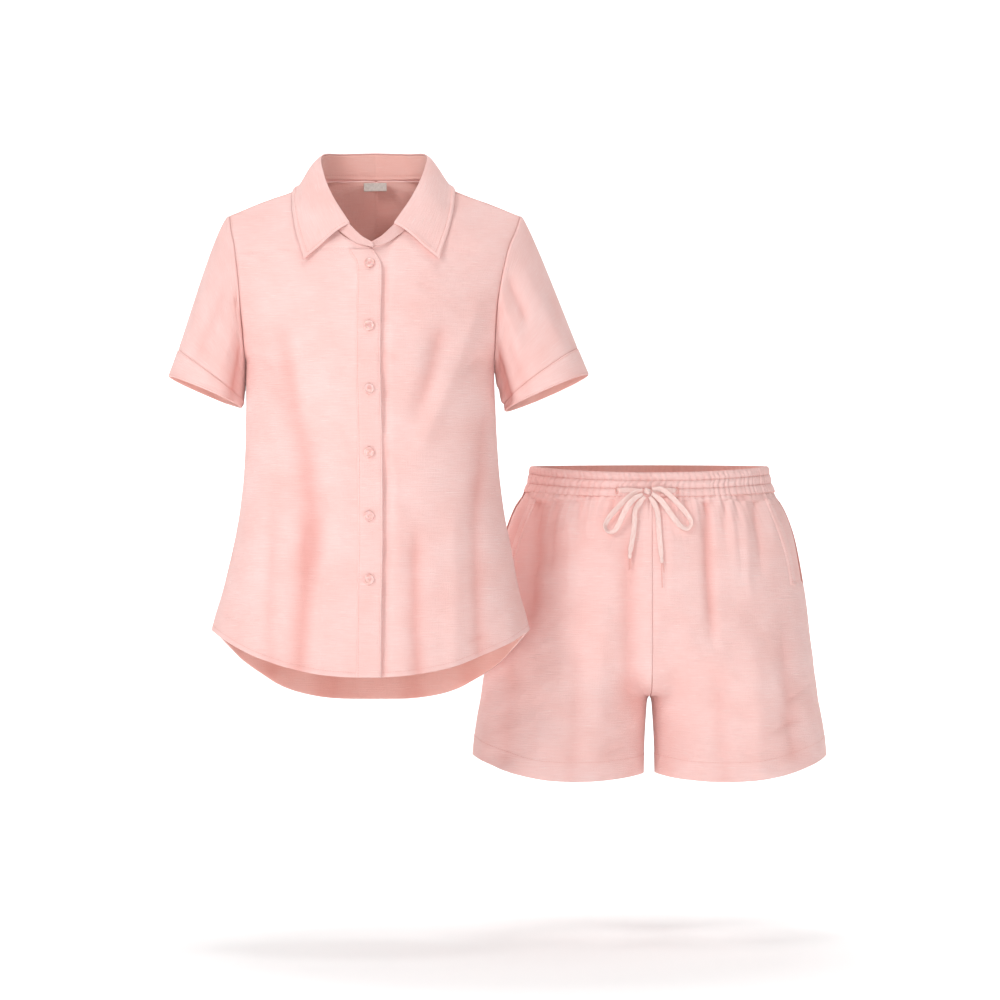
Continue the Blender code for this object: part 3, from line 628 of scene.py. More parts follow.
# Neck seam, fold and outer edge of the collar, from the back centre to the front
COLLAR_ROWS = (
    # seam x, y, z, fold x, y, z, edge x, y, z
    (0, 63, 17, 0, 64, 52, 0, 92, 4),
    (40, 54, 17, 42, 54, 50, 62, 76, 5),
    (66, 22, 14, 67, 17, 45, 98, 22, 2),
    (71, -14, 1, 64, -22, 19, 104, -22, -16),
    (62, -48, -31, 51, -55, -13, 99, -60, -52),
    (40, -80, -62, 28, -82, -50, 86, -94, -96),
)
STAND_FRONT = ((20, -92, -77, 14, -92, -64), (0, -97, -84, 0, -96, -75))

# Sleeve ends: centre and half sizes of the cuff's lower ring. Below them: the share of the way
# where the cuff begins, and the way and pull with which a sleeve leaves the armhole and meets
# the cuff
CUFFS = {
    # x, y, z, half width, half depth, outer side raised by, fullness of the cap
    "right": (-215.0, 4, -263, 46.5, 55, 19.5, 1.15),
    "left": (229.5, 4, -264, 53.0, 55, 23.0, 0.8),
}
SLEEVE_LENGTH = 230
CUFF_SHARE = 0.80
CAP_WAY = (1.0, -0.45)
CAP_OUT = 49.4
CAP_DOWN = (30.4, 7.6)
CUFF_WAY = (0.40, -0.92)
CUFF_RUN = (30.0, 95.0)

# Columns and rows of the cloth's grids
FRONT_GRID = (96, 228)
BACK_GRID = (72, 200)
SLEEVE_AROUND = 132

# Waves of soft unevenness, as size and height
SHIRT_SOFTNESS = ((120, 0.9), (46, 0.45), (17, 0.14))
SLEEVE_SOFTNESS = ((70, 0.6), (30, 0.3))
LEAF_SOFTNESS = ((90, 0.8), (34, 0.25))
SHORTS_SOFTNESS = ((110, 1.2), (44, 0.6), (16, 0.16))

# Rows of the tables at the armhole's foot and at the placket's top
ARMHOLE_ROW = 7
PLACKET_TOP_ROW = 12

# Folds pressed into the panels. A positive depth is a trough, a negative one a ridge
FRONT_RIGHT_FOLDS = (
    # x top, z top, x low, z low, bow, half width, depth, power, fade in, fade out
    (124, -130, 62, -560, 10, 19, 3.2, 1.8, 0.25, 0.35),
    (80, -135, 70, -340, -4, 15, -2.2, 1.8, 0.4, 0.4),
    (152, -300, 150, -610, 4, 13, -2.2, 1.7, 0.3, 0.2),
    (118, -330, 124, -640, -6, 12, 2.2, 1.6, 0.4, 0.1),
    (84, -400, 92, -650, 5, 15, 3.4, 1.6, 0.3, 0.1),
    (28, -350, 42, -600, -4, 13, -2.0, 1.7, 0.35, 0.3),
    (58, -470, 62, -640, 3, 9, -1.6, 1.6, 0.3, 0.05),
    (150, -205, 112, -262, 4, 6, 1.4, 1.4, 0.3, 0.5),
    (146, -232, 100, -300, 5, 7, 1.2, 1.4, 0.3, 0.5),
    (20, -452, 52, -462, 1, 4, 0.7, 1.3, 0.1, 0.6),
    (19, -497, 44, -503, 1, 3.5, 0.6, 1.3, 0.1, 0.6),
    (19, -541, 50, -552, 1, 4, 0.8, 1.3, 0.1, 0.6),
    (19, -577, 42, -583, -1, 3, 0.6, 1.3, 0.1, 0.6),
    (96, -306, 128, -300, 1, 4, 0.5, 1.3, 0.3, 0.5),
    (78, -372, 112, -380, 1, 3.5, 0.5, 1.3, 0.3, 0.5),
    (158, -560, 186, -548, 2, 6, 1.0, 1.4, 0.3, 0.1),
)
FRONT_LEFT_FOLDS = (
    (21, -100, 21, -640, 0, 4.5, 1.5, 2.0, 0.02, 0.01),
    (146, -128, 44, -372, -9, 12, -3.2, 1.7, 0.2, 0.3),
    (98, -158, 56, -312, -5, 13, 3.0, 1.7, 0.3, 0.35),
    (154, -262, 140, -430, 4, 11, 3.6, 1.6, 0.3, 0.3),
    (60, -410, 66, -640, 3, 12, 3.0, 1.6, 0.3, 0.05),
    (102, -390, 108, -640, -4, 13, -2.4, 1.7, 0.3, 0.05),
    (136, -350, 146, -620, 4, 12, 3.2, 1.6, 0.3, 0.1),
    (172, -430, 180, -600, 0, 9, -1.8, 1.6, 0.3, 0.1),
    (34, -330, 40, -520, 2, 9, -1.4, 1.6, 0.4, 0.4),
    (148, -210, 104, -250, -3, 6, 1.3, 1.4, 0.3, 0.5),
    (60, -120, 96, -140, 3, 6, 1.0, 1.4, 0.3, 0.5),
    (22, -170, 46, -181, 1, 4, 0.8, 1.3, 0.05, 0.6),
    (22, -212, 52, -226, 2, 5, 0.9, 1.3, 0.05, 0.6),
    (22, -268, 44, -276, 1, 4, 0.7, 1.3, 0.05, 0.6),
    (22, -342, 48, -350, 1, 4, 0.8, 1.3, 0.05, 0.6),
    (22, -428, 46, -440, 1, 4, 0.7, 1.3, 0.05, 0.6),
    (150, -560, 188, -540, 2, 5, 1.0, 1.4, 0.3, 0.1),
    (120, -590, 160, -574, -2, 4, 0.8, 1.4, 0.3, 0.3),
)
BACK_RIGHT_FOLDS = (
    (58, -260, 66, -700, 6, 22, 5.0, 1.7, 0.3, 0.05),
    (96, -300, 102, -690, -5, 14, -2.8, 1.7, 0.3, 0.05),
    (128, -280, 140, -650, 5, 18, 4.4, 1.7, 0.3, 0.05),
    (24, -340, 20, -690, 3, 12, -2.4, 1.6, 0.4, 0.1),
    (150, -200, 84, -280, 6, 9, 1.8, 1.4, 0.2, 0.5),
    (150, -168, 100, -214, 4, 7, 1.3, 1.4, 0.2, 0.5),
    (168, -500, 176, -640, 2, 9, -1.6, 1.6, 0.3, 0.1),
)
BACK_LEFT_FOLDS = (
    (46, -280, 50, -710, -5, 20, 4.4, 1.7, 0.3, 0.05),
    (84, -320, 90, -690, 4, 13, -2.6, 1.7, 0.3, 0.05),
    (118, -270, 130, -660, -5, 20, 5.0, 1.7, 0.3, 0.05),
    (156, -330, 166, -640, 3, 11, -2.0, 1.7, 0.3, 0.1),
    (152, -190, 92, -262, 5, 8, 1.7, 1.4, 0.2, 0.5),
    (30, -120, 22, -330, 3, 14, -1.4, 1.7, 0.4, 0.4),
)
# Sleeve folds: degrees round the sleeve from its outer side at the cap and at the cuff, shares
# of the way down where each starts and ends, width in degrees, depth
SLEEVE_FOLDS = {
    "right": (
        # degrees top, degrees low, start, end, width, depth
        (136, 143, 0.10, 1.10, 13, 6.5),
        (96, 98, 0.02, 0.22, 8, 3.0),
        (112, 104, 0.15, 0.85, 12, -2.2),
        (70, 62, 0.15, 0.90, 13, 3.0),
        (40, 34, 0.20, 1.00, 14, -1.6),
        (240, 248, 0.10, 1.00, 16, 5.0),
        (290, 300, 0.20, 1.00, 15, 3.5),
        (205, 208, 0.10, 0.90, 13, -2.0),
    ),
    "left": (
        (150, 156, 0.06, 1.10, 15, 8.5),
        (97, 104, 0.00, 0.62, 9, -3.0),
        (72, 80, 0.05, 0.55, 9, 3.6),
        (50, 46, 0.15, 0.95, 12, -2.4),
        (118, 116, 0.35, 1.05, 11, 3.0),
        (26, 20, 0.30, 1.00, 12, 2.0),
        (245, 250, 0.10, 1.00, 15, 5.0),
        (300, 292, 0.20, 1.00, 15, 3.0),
        (212, 205, 0.10, 0.90, 13, -2.0),
    ),
}
HEM_WIDTH = 8.0
HEM_STEP = 0.55
PINCH = 0.8
FOLD_DEPTH = 1.4


BODY_SIZE = (170, 120, 104)
CHEST = -150


def outward(points):
    """The way out of the shirt's body: sideways below the chest, upwards at the shoulders."""
    x = points[..., 0] / BODY_SIZE[0] ** 2
    y = points[..., 1] / BODY_SIZE[1] ** 2
    z = np.maximum(0, points[..., 2] - CHEST) / BODY_SIZE[2] ** 2
    return unit(np.stack([x, y, z], axis=-1))


def lean(points):
    """The shirt's mid-line sways a little from the hem to the shoulders."""
    points = points.copy()
    rows = np.array(LEAN_ROWS)
    points[..., 0] += np.interp(points[..., 2], rows[:, 0], rows[:, 1])
    return points


def shirt_places(count):
    """Places up a panel's table, closer together at the hem and the shoulder."""
    t = np.linspace(0, 1, count)
    return t + 0.10 * np.sin(2 * math.pi * t) / -2 / math.pi * 4


def shirt_panel(rows, side, face, columns, count, lap, folds, seed):
    """Half a front or back on its solid's form, with its folds; also how deep each place lies."""
    places = shirt_places(count) * (len(rows) - 1)
    grid, troughs = [], []
    for x_in, y_mid, z_mid, x_out, y_out, z_out, turn, power, lap_share in curve_at(rows, places):
        y_out = min(y_out, 0) if face < 0 else max(y_out, 0)
        turn = math.radians(turn)
        start = math.asin((max(x_in, 0) - lap * lap_share) / x_out * math.sin(turn)) / turn
        s = np.linspace(start, 1, columns)
        along = np.sin(s * turn) / math.sin(turn)
        x = x_out * along
        y = y_mid + (y_out - y_mid) * (1 - np.cos(s * turn)) / (1 - math.cos(turn))
        z = z_mid + (z_out - z_mid) * np.maximum(along, 0) ** max(power, 1)
        grid.append(np.stack([side * x, y, z], axis=-1))
        troughs.append(np.abs(along))
    grid, along = np.array(grid), np.array(troughs)
    x, z = np.abs(grid[..., 0]), grid[..., 2]
    ease = (1 - along) ** 0.22 * (0.35 + 0.65 * smoothstep(2, 26, x))
    depth = FOLD_DEPTH * pressed(folds, x, z) * ease
    soft = rumple(x, z, SHIRT_SOFTNESS, seed) * ease
    grid = lean(grid) - (depth + soft)[..., None] * outward(grid)
    return grid, depth


def hem_lift(grid, width, step):
    """Extra thickness of a turned hem along the first row, pressed in where it is sewn."""
    below = run_along(grid, 0)
    lift = step * (1 - smoothstep(width - 0.8, width + 0.8, below))
    return lift - 0.5 * bell(below - width + 1.5, 1.0)


def edge_pinch(grid, reach=3.5):
    """How much the cloth draws in towards its seams, at the last row and the last column."""
    seams = sum(bell(run_along(grid, axis, far=True), reach) for axis in (0, 1))
    return np.minimum(seams, 1) * PINCH


# How dark a place is painted for lying deep in a fold or hollow: painted shade
def painted_shade_of(depth, scale=5.0):
    return np.clip(depth / scale, 0, 1) ** 1.5


def above_hem(grid, distance):
    """The line across a panel at one distance above its first row."""
    below = run_along(grid, 0)
    return np.array([[np.interp(distance, below[:, c], grid[:, c, k]) for k in range(3)]
                     for c in range(grid.shape[1])])


def shirt_sheet(half, side):
    """A half panel's inner and outer grids, place in the cloth and painted shade, ready for shell."""
    grid, depth = half
    away = outward(grid)
    lift = hem_lift(grid, HEM_WIDTH, HEM_STEP)
    pinch = edge_pinch(grid)
    low = grid + (0.25 - 0.5 * lift - 0.4 * pinch)[..., None] * away
    high = grid + (CLOTH + 0.5 * lift - pinch)[..., None] * away
    # The cloth drawn in at the seams is painted a little darker: painted shade
    return low, high, half_grain(grid, side), np.clip(painted_shade_of(depth) + 0.25 * pinch / PINCH, 0, 1)


def build_shirt_body():
    """Two fronts and the back; returns the outer grids for what lies on them."""
    right = shirt_panel(FRONT_ROWS, -1, -1, *FRONT_GRID, OVERLAP + CENTRE_FRONT, FRONT_RIGHT_FOLDS, 3)
    left = shirt_panel(FRONT_ROWS, 1, -1, *FRONT_GRID, UNDERLAP - CENTRE_FRONT, FRONT_LEFT_FOLDS, 5)
    under = 1 - smoothstep(*UNDER_LAP, left[0][..., 0])
    left[0][..., 1] += (LAYER + HAIR) * under * smoothstep(*LAP_TOP, left[0][..., 2])
    back = shirt_panel(BACK_ROWS, 1, 1, *BACK_GRID, 0, BACK_LEFT_FOLDS, 7)
    other = shirt_panel(BACK_ROWS, -1, 1, *BACK_GRID, 0, BACK_RIGHT_FOLDS, 9)
    middle = (back[0][:, 0] + other[0][:, 0]) / 2
    joined = np.abs(back[0][:, 0, 0] - other[0][:, 0, 0]) < SEAM
    for grid, _ in (back, other):
        grid[joined, 0] = middle[joined]
    sheets = {
        "shirt_front_right": [shirt_sheet(right, -1)],
        "shirt_front_left": [shirt_sheet(left, 1)],
        "shirt_back": [shirt_sheet(back, 1), shirt_sheet(other, -1)],
    }
    made = {}
    for name, parts in sheets.items():
        made[name] = shell(f"{name}_cloth", parts, CLOTH_FINISH, inside=INSIDE_PAINTED_BOUNCE_FINISH)
        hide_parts(name)
    lines = []
    for parts in sheets.values():
        for _, high, _, _ in parts:
            hem = above_hem(high, HEM_WIDTH - 1.5)
            lines.append((hem, outward(hem)))
    made["stitches"] = stitches("shirt_hem_stitches", lines)
    return made, sheets


def armhole(side, around):
    """The armhole's loop on the body's inner surface, from the shoulder down the front."""
    front, back = (curve_at(rows, np.linspace(ARMHOLE_ROW, len(rows) - 1, 90))[:, 3:6]
                   for rows in (FRONT_ROWS, BACK_ROWS))
    front = front[::-1]
    front[:, 1] = np.minimum(front[:, 1], 0)
    back[:, 1] = np.maximum(back[:, 1], 0)
    loop = np.vstack([front, back[1:-1]])
    loop[:, 0] *= side
    loop = lean(loop)
    return spaced(np.vstack([loop, loop[:1]]), around + 1)[:-1]


def sleeve_grid(side, name, around, shares):
    """Rings from the armhole to the cuff's lower edge, with folds, and how deep they lie."""
    start = armhole(side, around)
    x, y, z, half_w, half_d, raised, fullness = CUFFS[name]
    turn = np.arange(around) / around * 2 * math.pi
    under = smoothstep(0.45, 0.95, (1 - np.cos(turn)) / 2)[:, None]
    start = start + outward(start) * 0.9 + np.array([side * 1.2, 0, 0]) * under
    end = np.stack(
        [
            x + side * half_w * np.cos(turn),
            y - half_d * np.sin(turn),
            z + raised * np.cos(turn) + 4 * np.sin(turn),
        ],
        axis=1,
    )
    top = (1 + np.cos(turn))[:, None] / 2
    leave = np.array([side * CAP_WAY[0], 0, CAP_WAY[1]]) * (CAP_OUT * fullness * top)
    leave[:, 2:] -= CAP_DOWN[0] - CAP_DOWN[1] * top
    arrive = np.array([side * CUFF_WAY[0], 0, CUFF_WAY[1]]) * (CUFF_RUN[0] + CUFF_RUN[1] * top)
    t = shares[:, None, None]
    grid = (
        start * (2 * t**3 - 3 * t * t + 1)
        + leave * (t**3 - 2 * t * t + t)
        + end * (3 * t * t - 2 * t**3)
        + arrive * (t**3 - t * t)
    )
    share, degrees = np.meshgrid(shares, np.degrees(turn), indexing="ij")
    depth = np.zeros_like(share)
    for first, last, begin, finish, width, deep in SLEEVE_FOLDS[name]:
        middle = first + (last - first) * share
        off = (degrees - middle + 180) % 360 - 180
        gap = finish - begin
        along = smoothstep(begin, begin + 0.3 * gap, share) * smoothstep(finish, finish - 0.3 * gap, share)
        depth += deep * np.exp(-np.abs(off / width) ** 1.8) * along
    depth *= smoothstep(0, 0.05, share)
    ripple = rumple(degrees, share * SLEEVE_LENGTH, SLEEVE_SOFTNESS, 21 + side)
    ripple *= np.sin(np.radians(degrees) / 2) ** 2 * smoothstep(0, 0.1, share)
    centre = grid.mean(axis=1, keepdims=True)
    grid = grid + (depth + ripple)[..., None] * unit(centre - grid)
    return grid, depth


def ring_outward(grid):
    """The way out of a tube at each point, square to its surface."""
    return facing(grid_normals(grid, closed=True), grid - grid.mean(axis=1, keepdims=True))


def sleeve_grain(grid):
    """Place in the cloth round a sleeve and down it, meeting at the seam under the arm."""
    around = grid.shape[1]
    turn = np.arange(around) / around * 2 * math.pi
    turn = np.where(turn > math.pi, turn - 2 * math.pi, turn)
    size = np.linalg.norm(np.roll(grid, -1, axis=1) - grid, axis=-1).sum(axis=1).mean() / 2 / math.pi
    down = reach_of(grid[:, 0])
    return np.stack(np.broadcast_arrays(turn[None] * size, -down[:, None]), axis=-1)


def build_sleeves():
    made, lines = {}, []
    for side, name in ((-1, "right"), (1, "left")):
        shares = joined_spans((0, 0.06, 12), (0.06, CUFF_SHARE, 66), (CUFF_SHARE, 1, 30))
        grid, depth = sleeve_grid(side, name, SLEEVE_AROUND, shares)
        away = ring_outward(grid)
        split = int(np.argmin(np.abs(shares - CUFF_SHARE)))
        grain = sleeve_grain(grid)
        # The seam round the armhole rolls under, and so does the seam above the cuff
        down = run_along(grid, 0)
        roll = 1.1 * bell(down, 1.6)
        press = 0.9 * bell(down - down[split], 2.2)
        high = grid + (CLOTH - roll - press)[..., None] * away
        low = grid + (0.2 - 0.4 * press)[..., None] * away
        # Painted shade in the sleeve's folds, and along the armhole seam and the seam above the cuff
        painted_shade = np.clip(painted_shade_of(depth, 7) + 0.3 * roll + 0.2 * press, 0, 1)
        body = slice(0, split + 1)
        piece = shell(f"sleeve_{name}_cloth", [(low[body], high[body], grain[body], painted_shade[body])],
                      CLOTH_FINISH, inside=INSIDE_PAINTED_BOUNCE_FINISH, closed=True)
        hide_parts(f"sleeve_{name}")
        made[f"sleeve_{name}"] = piece
        band = slice(split, None)
        wide = down[band] - down[split]
        far = wide[-1] - wide
        soft = 0.9 * bell(wide, 1.0) + 1.0 * bell(far, 0.9)
        sewn = 0.35 * (bell(wide - CUFF_INSET, 0.8) + bell(far - CUFF_INSET, 0.8))
        top = grid[band] + (BAND - soft - sewn)[..., None] * away[band]
        bottom = grid[band] + (-HAIR + 0.5 * soft)[..., None] * away[band]
        piece = shell(f"cuff_{name}_band", [(bottom, top, grain[band], painted_shade_of(depth[band], 9))],
                      CLOTH_FINISH, inside=INSIDE_PAINTED_BOUNCE_FINISH, closed=True)
        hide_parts(f"cuff_{name}")
        made[f"cuff_{name}"] = piece
        reach = wide[:, 0]
        for distance in (CUFF_INSET, reach[-1] - CUFF_INSET):
            row = int(np.argmin(np.abs(reach - distance)))
            ring = np.vstack([top[row], top[row, :1]])
            lines.append((ring, np.vstack([away[band][row], away[band][row, :1]])))
    made["stitches"] = stitches("sleeve_band_stitches", lines, lift=0.05)
    return made


STAND_LIFT = 3.4
STAND_DROP = 0.6
STAND_LAP = (1.6, 3.0)
LEAF_ROLL = 5.0
CLEAR = 0.5
NEAR_BODY = 30.0
SPREADS = 4
SOFTENINGS = 14
LABEL = (30.0, 11.0, 1.0)
LABEL_TOP = 13.5
LABEL_Y = 55.4
LABEL_BOW = 140.0


def both_sides(rows, lift):
    """A half row mirrored into a whole one, from the wearer's right to the left."""
    other = rows.copy()
    other[:, 0] *= -1
    whole = np.vstack([other[:0:-1], rows])
    whole[:, 0] += COLLAR_LEAN
    whole[:, 2] += lift
    return whole


def beside(field):
    """Each place's own value, and those of its four neighbours."""
    edged = np.pad(field, 1, mode="edge")
    middle = slice(1, -1)
    spots = ((middle, middle), (slice(-2), middle), (slice(2, None), middle),
             (middle, slice(-2)), (middle, slice(2, None)))
    return np.stack([edged[spot] for spot in spots])


def rest_on(points, sheets):
    """Points nearer than a hair to the body's outer face are moved out, and those round them
    with them, so that the cloth stays smooth."""
    body = np.vstack([high[::3, ::3].reshape(-1, 3) for _, high, _, _ in sheets])
    body = body[body[:, 2] > CHEST]
    normal = outward(body)
    need = np.zeros(points.shape[:2])
    for place in np.ndindex(*need.shape):
        gap = ((body - points[place]) ** 2).sum(axis=1)
        near = int(np.argmin(gap))
        if gap[near] < NEAR_BODY**2:
            need[place] = max(0, CLEAR - (points[place] - body[near]) @ normal[near])
    for _ in range(SPREADS):
        need = beside(need).max(axis=0)
    for _ in range(SOFTENINGS):
        need = (need + beside(need).sum(axis=0)) / 6
    return points + need[..., None] * outward(points)


def build_collar(sheets):
    """A stand along the neck seam and the leaf that folds over it onto the body."""
    last = len(COLLAR_ROWS) - 1
    table = curve_at(COLLAR_ROWS, np.linspace(0, last, 76))
    front = curve_at([table[-1][:6], *STAND_FRONT], np.linspace(0, 2, 21))[1:]
    seam = both_sides(np.vstack([table[:, :3], front[:, :3]]), STAND_LIFT)
    fold = both_sides(np.vstack([table[:, 3:6], front[:, 3:6]]), -STAND_DROP)
    share = np.linspace(0, 1, len(seam))
    past = np.abs(share - 0.5)
    over = np.where(share < 0.5, 1, -1) * smoothstep(0.38, 0.5, past)
    for line in (seam, fold):
        line[:, 1] -= STAND_LAP[0] * over
        line[:, 0] += STAND_LAP[1] * np.sign(0.5 - share) * smoothstep(0.45, 0.5, past)
    t = np.linspace(-0.09, 1, 24)[:, None, None]
    stand = seam + (fold - seam) * t
    away = -grid_normals(stand)
    away = away * np.sign((away[..., :2] * stand[..., :2]).sum(axis=-1))[..., None]
    rib = 0.35 * bell(t[..., 0] - 0.10, 0.05) * np.ones(stand.shape[:2])
    low = stand + rib[..., None] * away
    grain = grain_of(stand)
    # The stand is painted with a little shade all over, for the leaf that lies over it
    piece = shell("collar_stand_band", [(low, stand + (CLOTH - 0.1) * away, grain, 0.15)], CLOTH_FINISH,
                  inside=INSIDE_PAINTED_BOUNCE_FINISH)
    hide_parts("collar_stand")
    made = {"collar_stand": piece}
    lines = [(stand[4], -away[4])]

    fold = both_sides(table[:, 3:6], 0)
    edge = both_sides(table[:, 6:9], 0)
    t = joined_spans((0, 0.12, 14), (0.12, 0.9, 40), (0.9, 1, 9))
    leaf = []
    for share in t:
        row = fold + (edge - fold) * share
        row[:, 2] += LEAF_ROLL * math.sin(math.pi * min(share * 1.25, 1)) * (1 - share)
        leaf.append(row)
    leaf = rest_on(np.array(leaf), sheets)
    away = -grid_normals(leaf)
    away = away * np.sign(away[..., 2] + (away[..., :2] * leaf[..., :2]).sum(axis=-1) / 60)[..., None]
    across = reach_of(leaf[:, leaf.shape[1] // 2])
    x = np.broadcast_to(np.linspace(-1, 1, leaf.shape[1]) * 240, leaf.shape[:2])
    y = np.broadcast_to(across[:, None], leaf.shape[:2])
    soft = rumple(x, y, LEAF_SOFTNESS, 31)
    from_edge = run_along(leaf, 0, far=True)
    ends = np.minimum(run_along(leaf, 1), run_along(leaf, 1, far=True))
    rim = np.minimum(from_edge, ends)
    round_off = 0.7 * bell(rim, 0.9)
    sewn = 0.35 * bell(rim - LEAF_INSET, 0.9)
    puff = 0.4 * smoothstep(0.5, 3.5, rim) * (1 - smoothstep(4.2, 5.6, rim))
    base = leaf + (1.0 + soft * smoothstep(0, 12, rim) * smoothstep(0, 0.2, t)[:, None])[..., None] * away
    rise = smoothstep(0, 0.06, t)[:, None]
    base = leaf + np.array([0, 0, 0.8]) * (1 - rise[..., None]) + (base - leaf) * rise[..., None]
    high = base + (CLOTH - round_off - sewn + puff)[..., None] * away
    low = base + (0.3 * round_off)[..., None] * away
    piece = shell("collar_leaf_cloth", [(low, high, grain_of(leaf), 0.0)], CLOTH_FINISH)
    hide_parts("collar_leaf")
    made["collar_leaf"] = piece
    row = int(np.argmin(np.abs(from_edge[:, leaf.shape[1] // 2] - LEAF_INSET)))
    near = int(np.argmin(np.abs(ends[row, : leaf.shape[1] // 2] - LEAF_INSET)))
    other = leaf.shape[1] - 1 - near
    run = [(k, near) for k in range(6, row)] + [(row, k) for k in range(near, other + 1)]
    run += [(k, other) for k in range(row - 1, 5, -1)]
    spots = np.array([high[k] for k in run])
    ways = np.array([away[k] for k in run])
    lines.append((spots, ways))
    made["stitches"] = stitches("collar_stitches", lines, lift=0.05)
    return made


def build_placket(right):
    """The band on the right front's edge, made from that front's points and moved out."""
    high = right[1]
    places = shirt_places(len(high)) * (len(FRONT_ROWS) - 1)
    rows = high[places <= PLACKET_TOP_ROW]
    columns = np.concatenate([[0, 0.3, 0.8, 1.6], np.linspace(2.4, PLACKET - 2.4, 18),
                              [PLACKET - 1.6, PLACKET - 0.8, PLACKET - 0.3, PLACKET]])
    path = []
    for row in rows:
        row = row[np.argsort(row[:, 0])]
        x = row[-1, 0] - SEAM - columns
        path.append(np.stack([x, *(np.interp(x, row[:, 0], row[:, k]) for k in (1, 2))], axis=-1))
    path = np.array(path)
    away = outward(path)
    edge = np.minimum(columns, PLACKET - columns)
    z = path[..., 2]
    wave = 0.25 * np.sin(z / 9 + 1.3 * np.sin(z / 31)) * bell(edge, 5)
    swell = 0.25 * smoothstep(0, 1.6, edge) - 0.4 * bell(edge - PLACKET_INSET, 0.8)
    top = path + (PLACKET_SKIN * smoothstep(-0.6, 0.9, edge) + swell + wave)[..., None] * away
    bottom = path + (0.05 - 0.1 * (edge < 0.5))[..., None] * away
    grain = np.stack([np.broadcast_to(columns, path.shape[:2]) + 400, z], axis=-1)
    made = shell("placket_band", [(bottom, top, grain, 0.0)], CLOTH_FINISH)
    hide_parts("placket")
    lines = []
    for inset in (PLACKET_INSET, PLACKET - PLACKET_INSET):
        column = int(np.argmin(np.abs(columns - inset)))
        lines.append((top[:, column], away[:, column]))
    made_lines = stitches("placket_stitches", lines, lift=0.05)
    return made, made_lines, top, columns


def button_mesh(name):
    """A four-hole button, lying in the XZ plane with its face towards -Y."""
    radius = BUTTON_DIAMETER / 2
    profile = (
        # share of the radius, height
        (0.0, 0.2), (0.60, 0.15), (0.85, 0.4), (0.96, 0.9), (1.0, 1.4), (0.985, 1.9), (0.94, 2.35),
        (0.86, 2.58), (0.78, 2.5), (0.71, 2.2), (0.64, 1.98), (0.50, 1.92), (0.0, 1.92),
    )
    points = []
    for share, height in profile:
        for k in range(BUTTON_SIDES):
            turn = 2 * math.pi * k / BUTTON_SIDES
            ring = max(share, 0.001) * radius
            points.append((ring * math.cos(turn), -height, ring * math.sin(turn)))
    body = bpy.data.meshes.new(name)
    body.from_pydata([[v / 1000 for v in p] for p in points], [], tube_faces(len(profile), BUTTON_SIDES))
    made = add_object(name, body)
    drill, cuts = [], []
    for x, z in ((-1, -1), (1, -1), (1, 1), (-1, 1)):
        first = len(drill)
        for y in (-6, 3):
            for k in range(HOLE_SIDES):
                turn = 2 * math.pi * k / HOLE_SIDES
                across = x * HOLE_PLACE + HOLE_RADIUS * math.cos(turn)
                up = z * HOLE_PLACE + HOLE_RADIUS * math.sin(turn)
                drill.append((across / 1000, y / 1000, up / 1000))
        cuts += tube_faces(2, HOLE_SIDES, first)
    bits = bpy.data.meshes.new("drill")
    bits.from_pydata(drill, [], cuts)
    tool = add_object("drill", bits)
    cut = made.modifiers.new("holes", "BOOLEAN")
    cut.object = tool
    cut.solver = "EXACT"
    bpy.context.view_layer.update()
    ready = bpy.data.meshes.new_from_object(made.evaluated_get(bpy.context.evaluated_depsgraph_get()))
    bpy.data.objects.remove(made, do_unlink=True)
    bpy.data.objects.remove(tool, do_unlink=True)
    ready.materials.clear()
    ready.materials.append(BUTTON_FINISH)
    ready.shade_smooth()
    ready.set_sharp_from_angle(angle=math.radians(35))
    return ready


def threads(name, arches, thick):
    """Short round threads, each through three or more points."""
    points, faces = [], []
    ring = [(math.cos(a), math.sin(a)) for a in np.arange(6) / 6 * 2 * math.pi]
    for arch in arches:
        line = spaced(curve_at(arch, np.linspace(0, len(arch) - 1, 8)), 8)
        ahead = unit(np.gradient(line, axis=0))
        side = unit(np.cross(ahead, [0.2, 1.0, 0.1]))
        up = np.cross(side, ahead)
        first = len(points)
        for k in range(len(line)):
            points.extend(line[k] + thick / 2 * (a * side[k] + b * up[k]) for a, b in ring)
        faces += tube_faces(len(line), len(ring), first)
    return add_piece(name, points, faces, THREAD_FINISH)


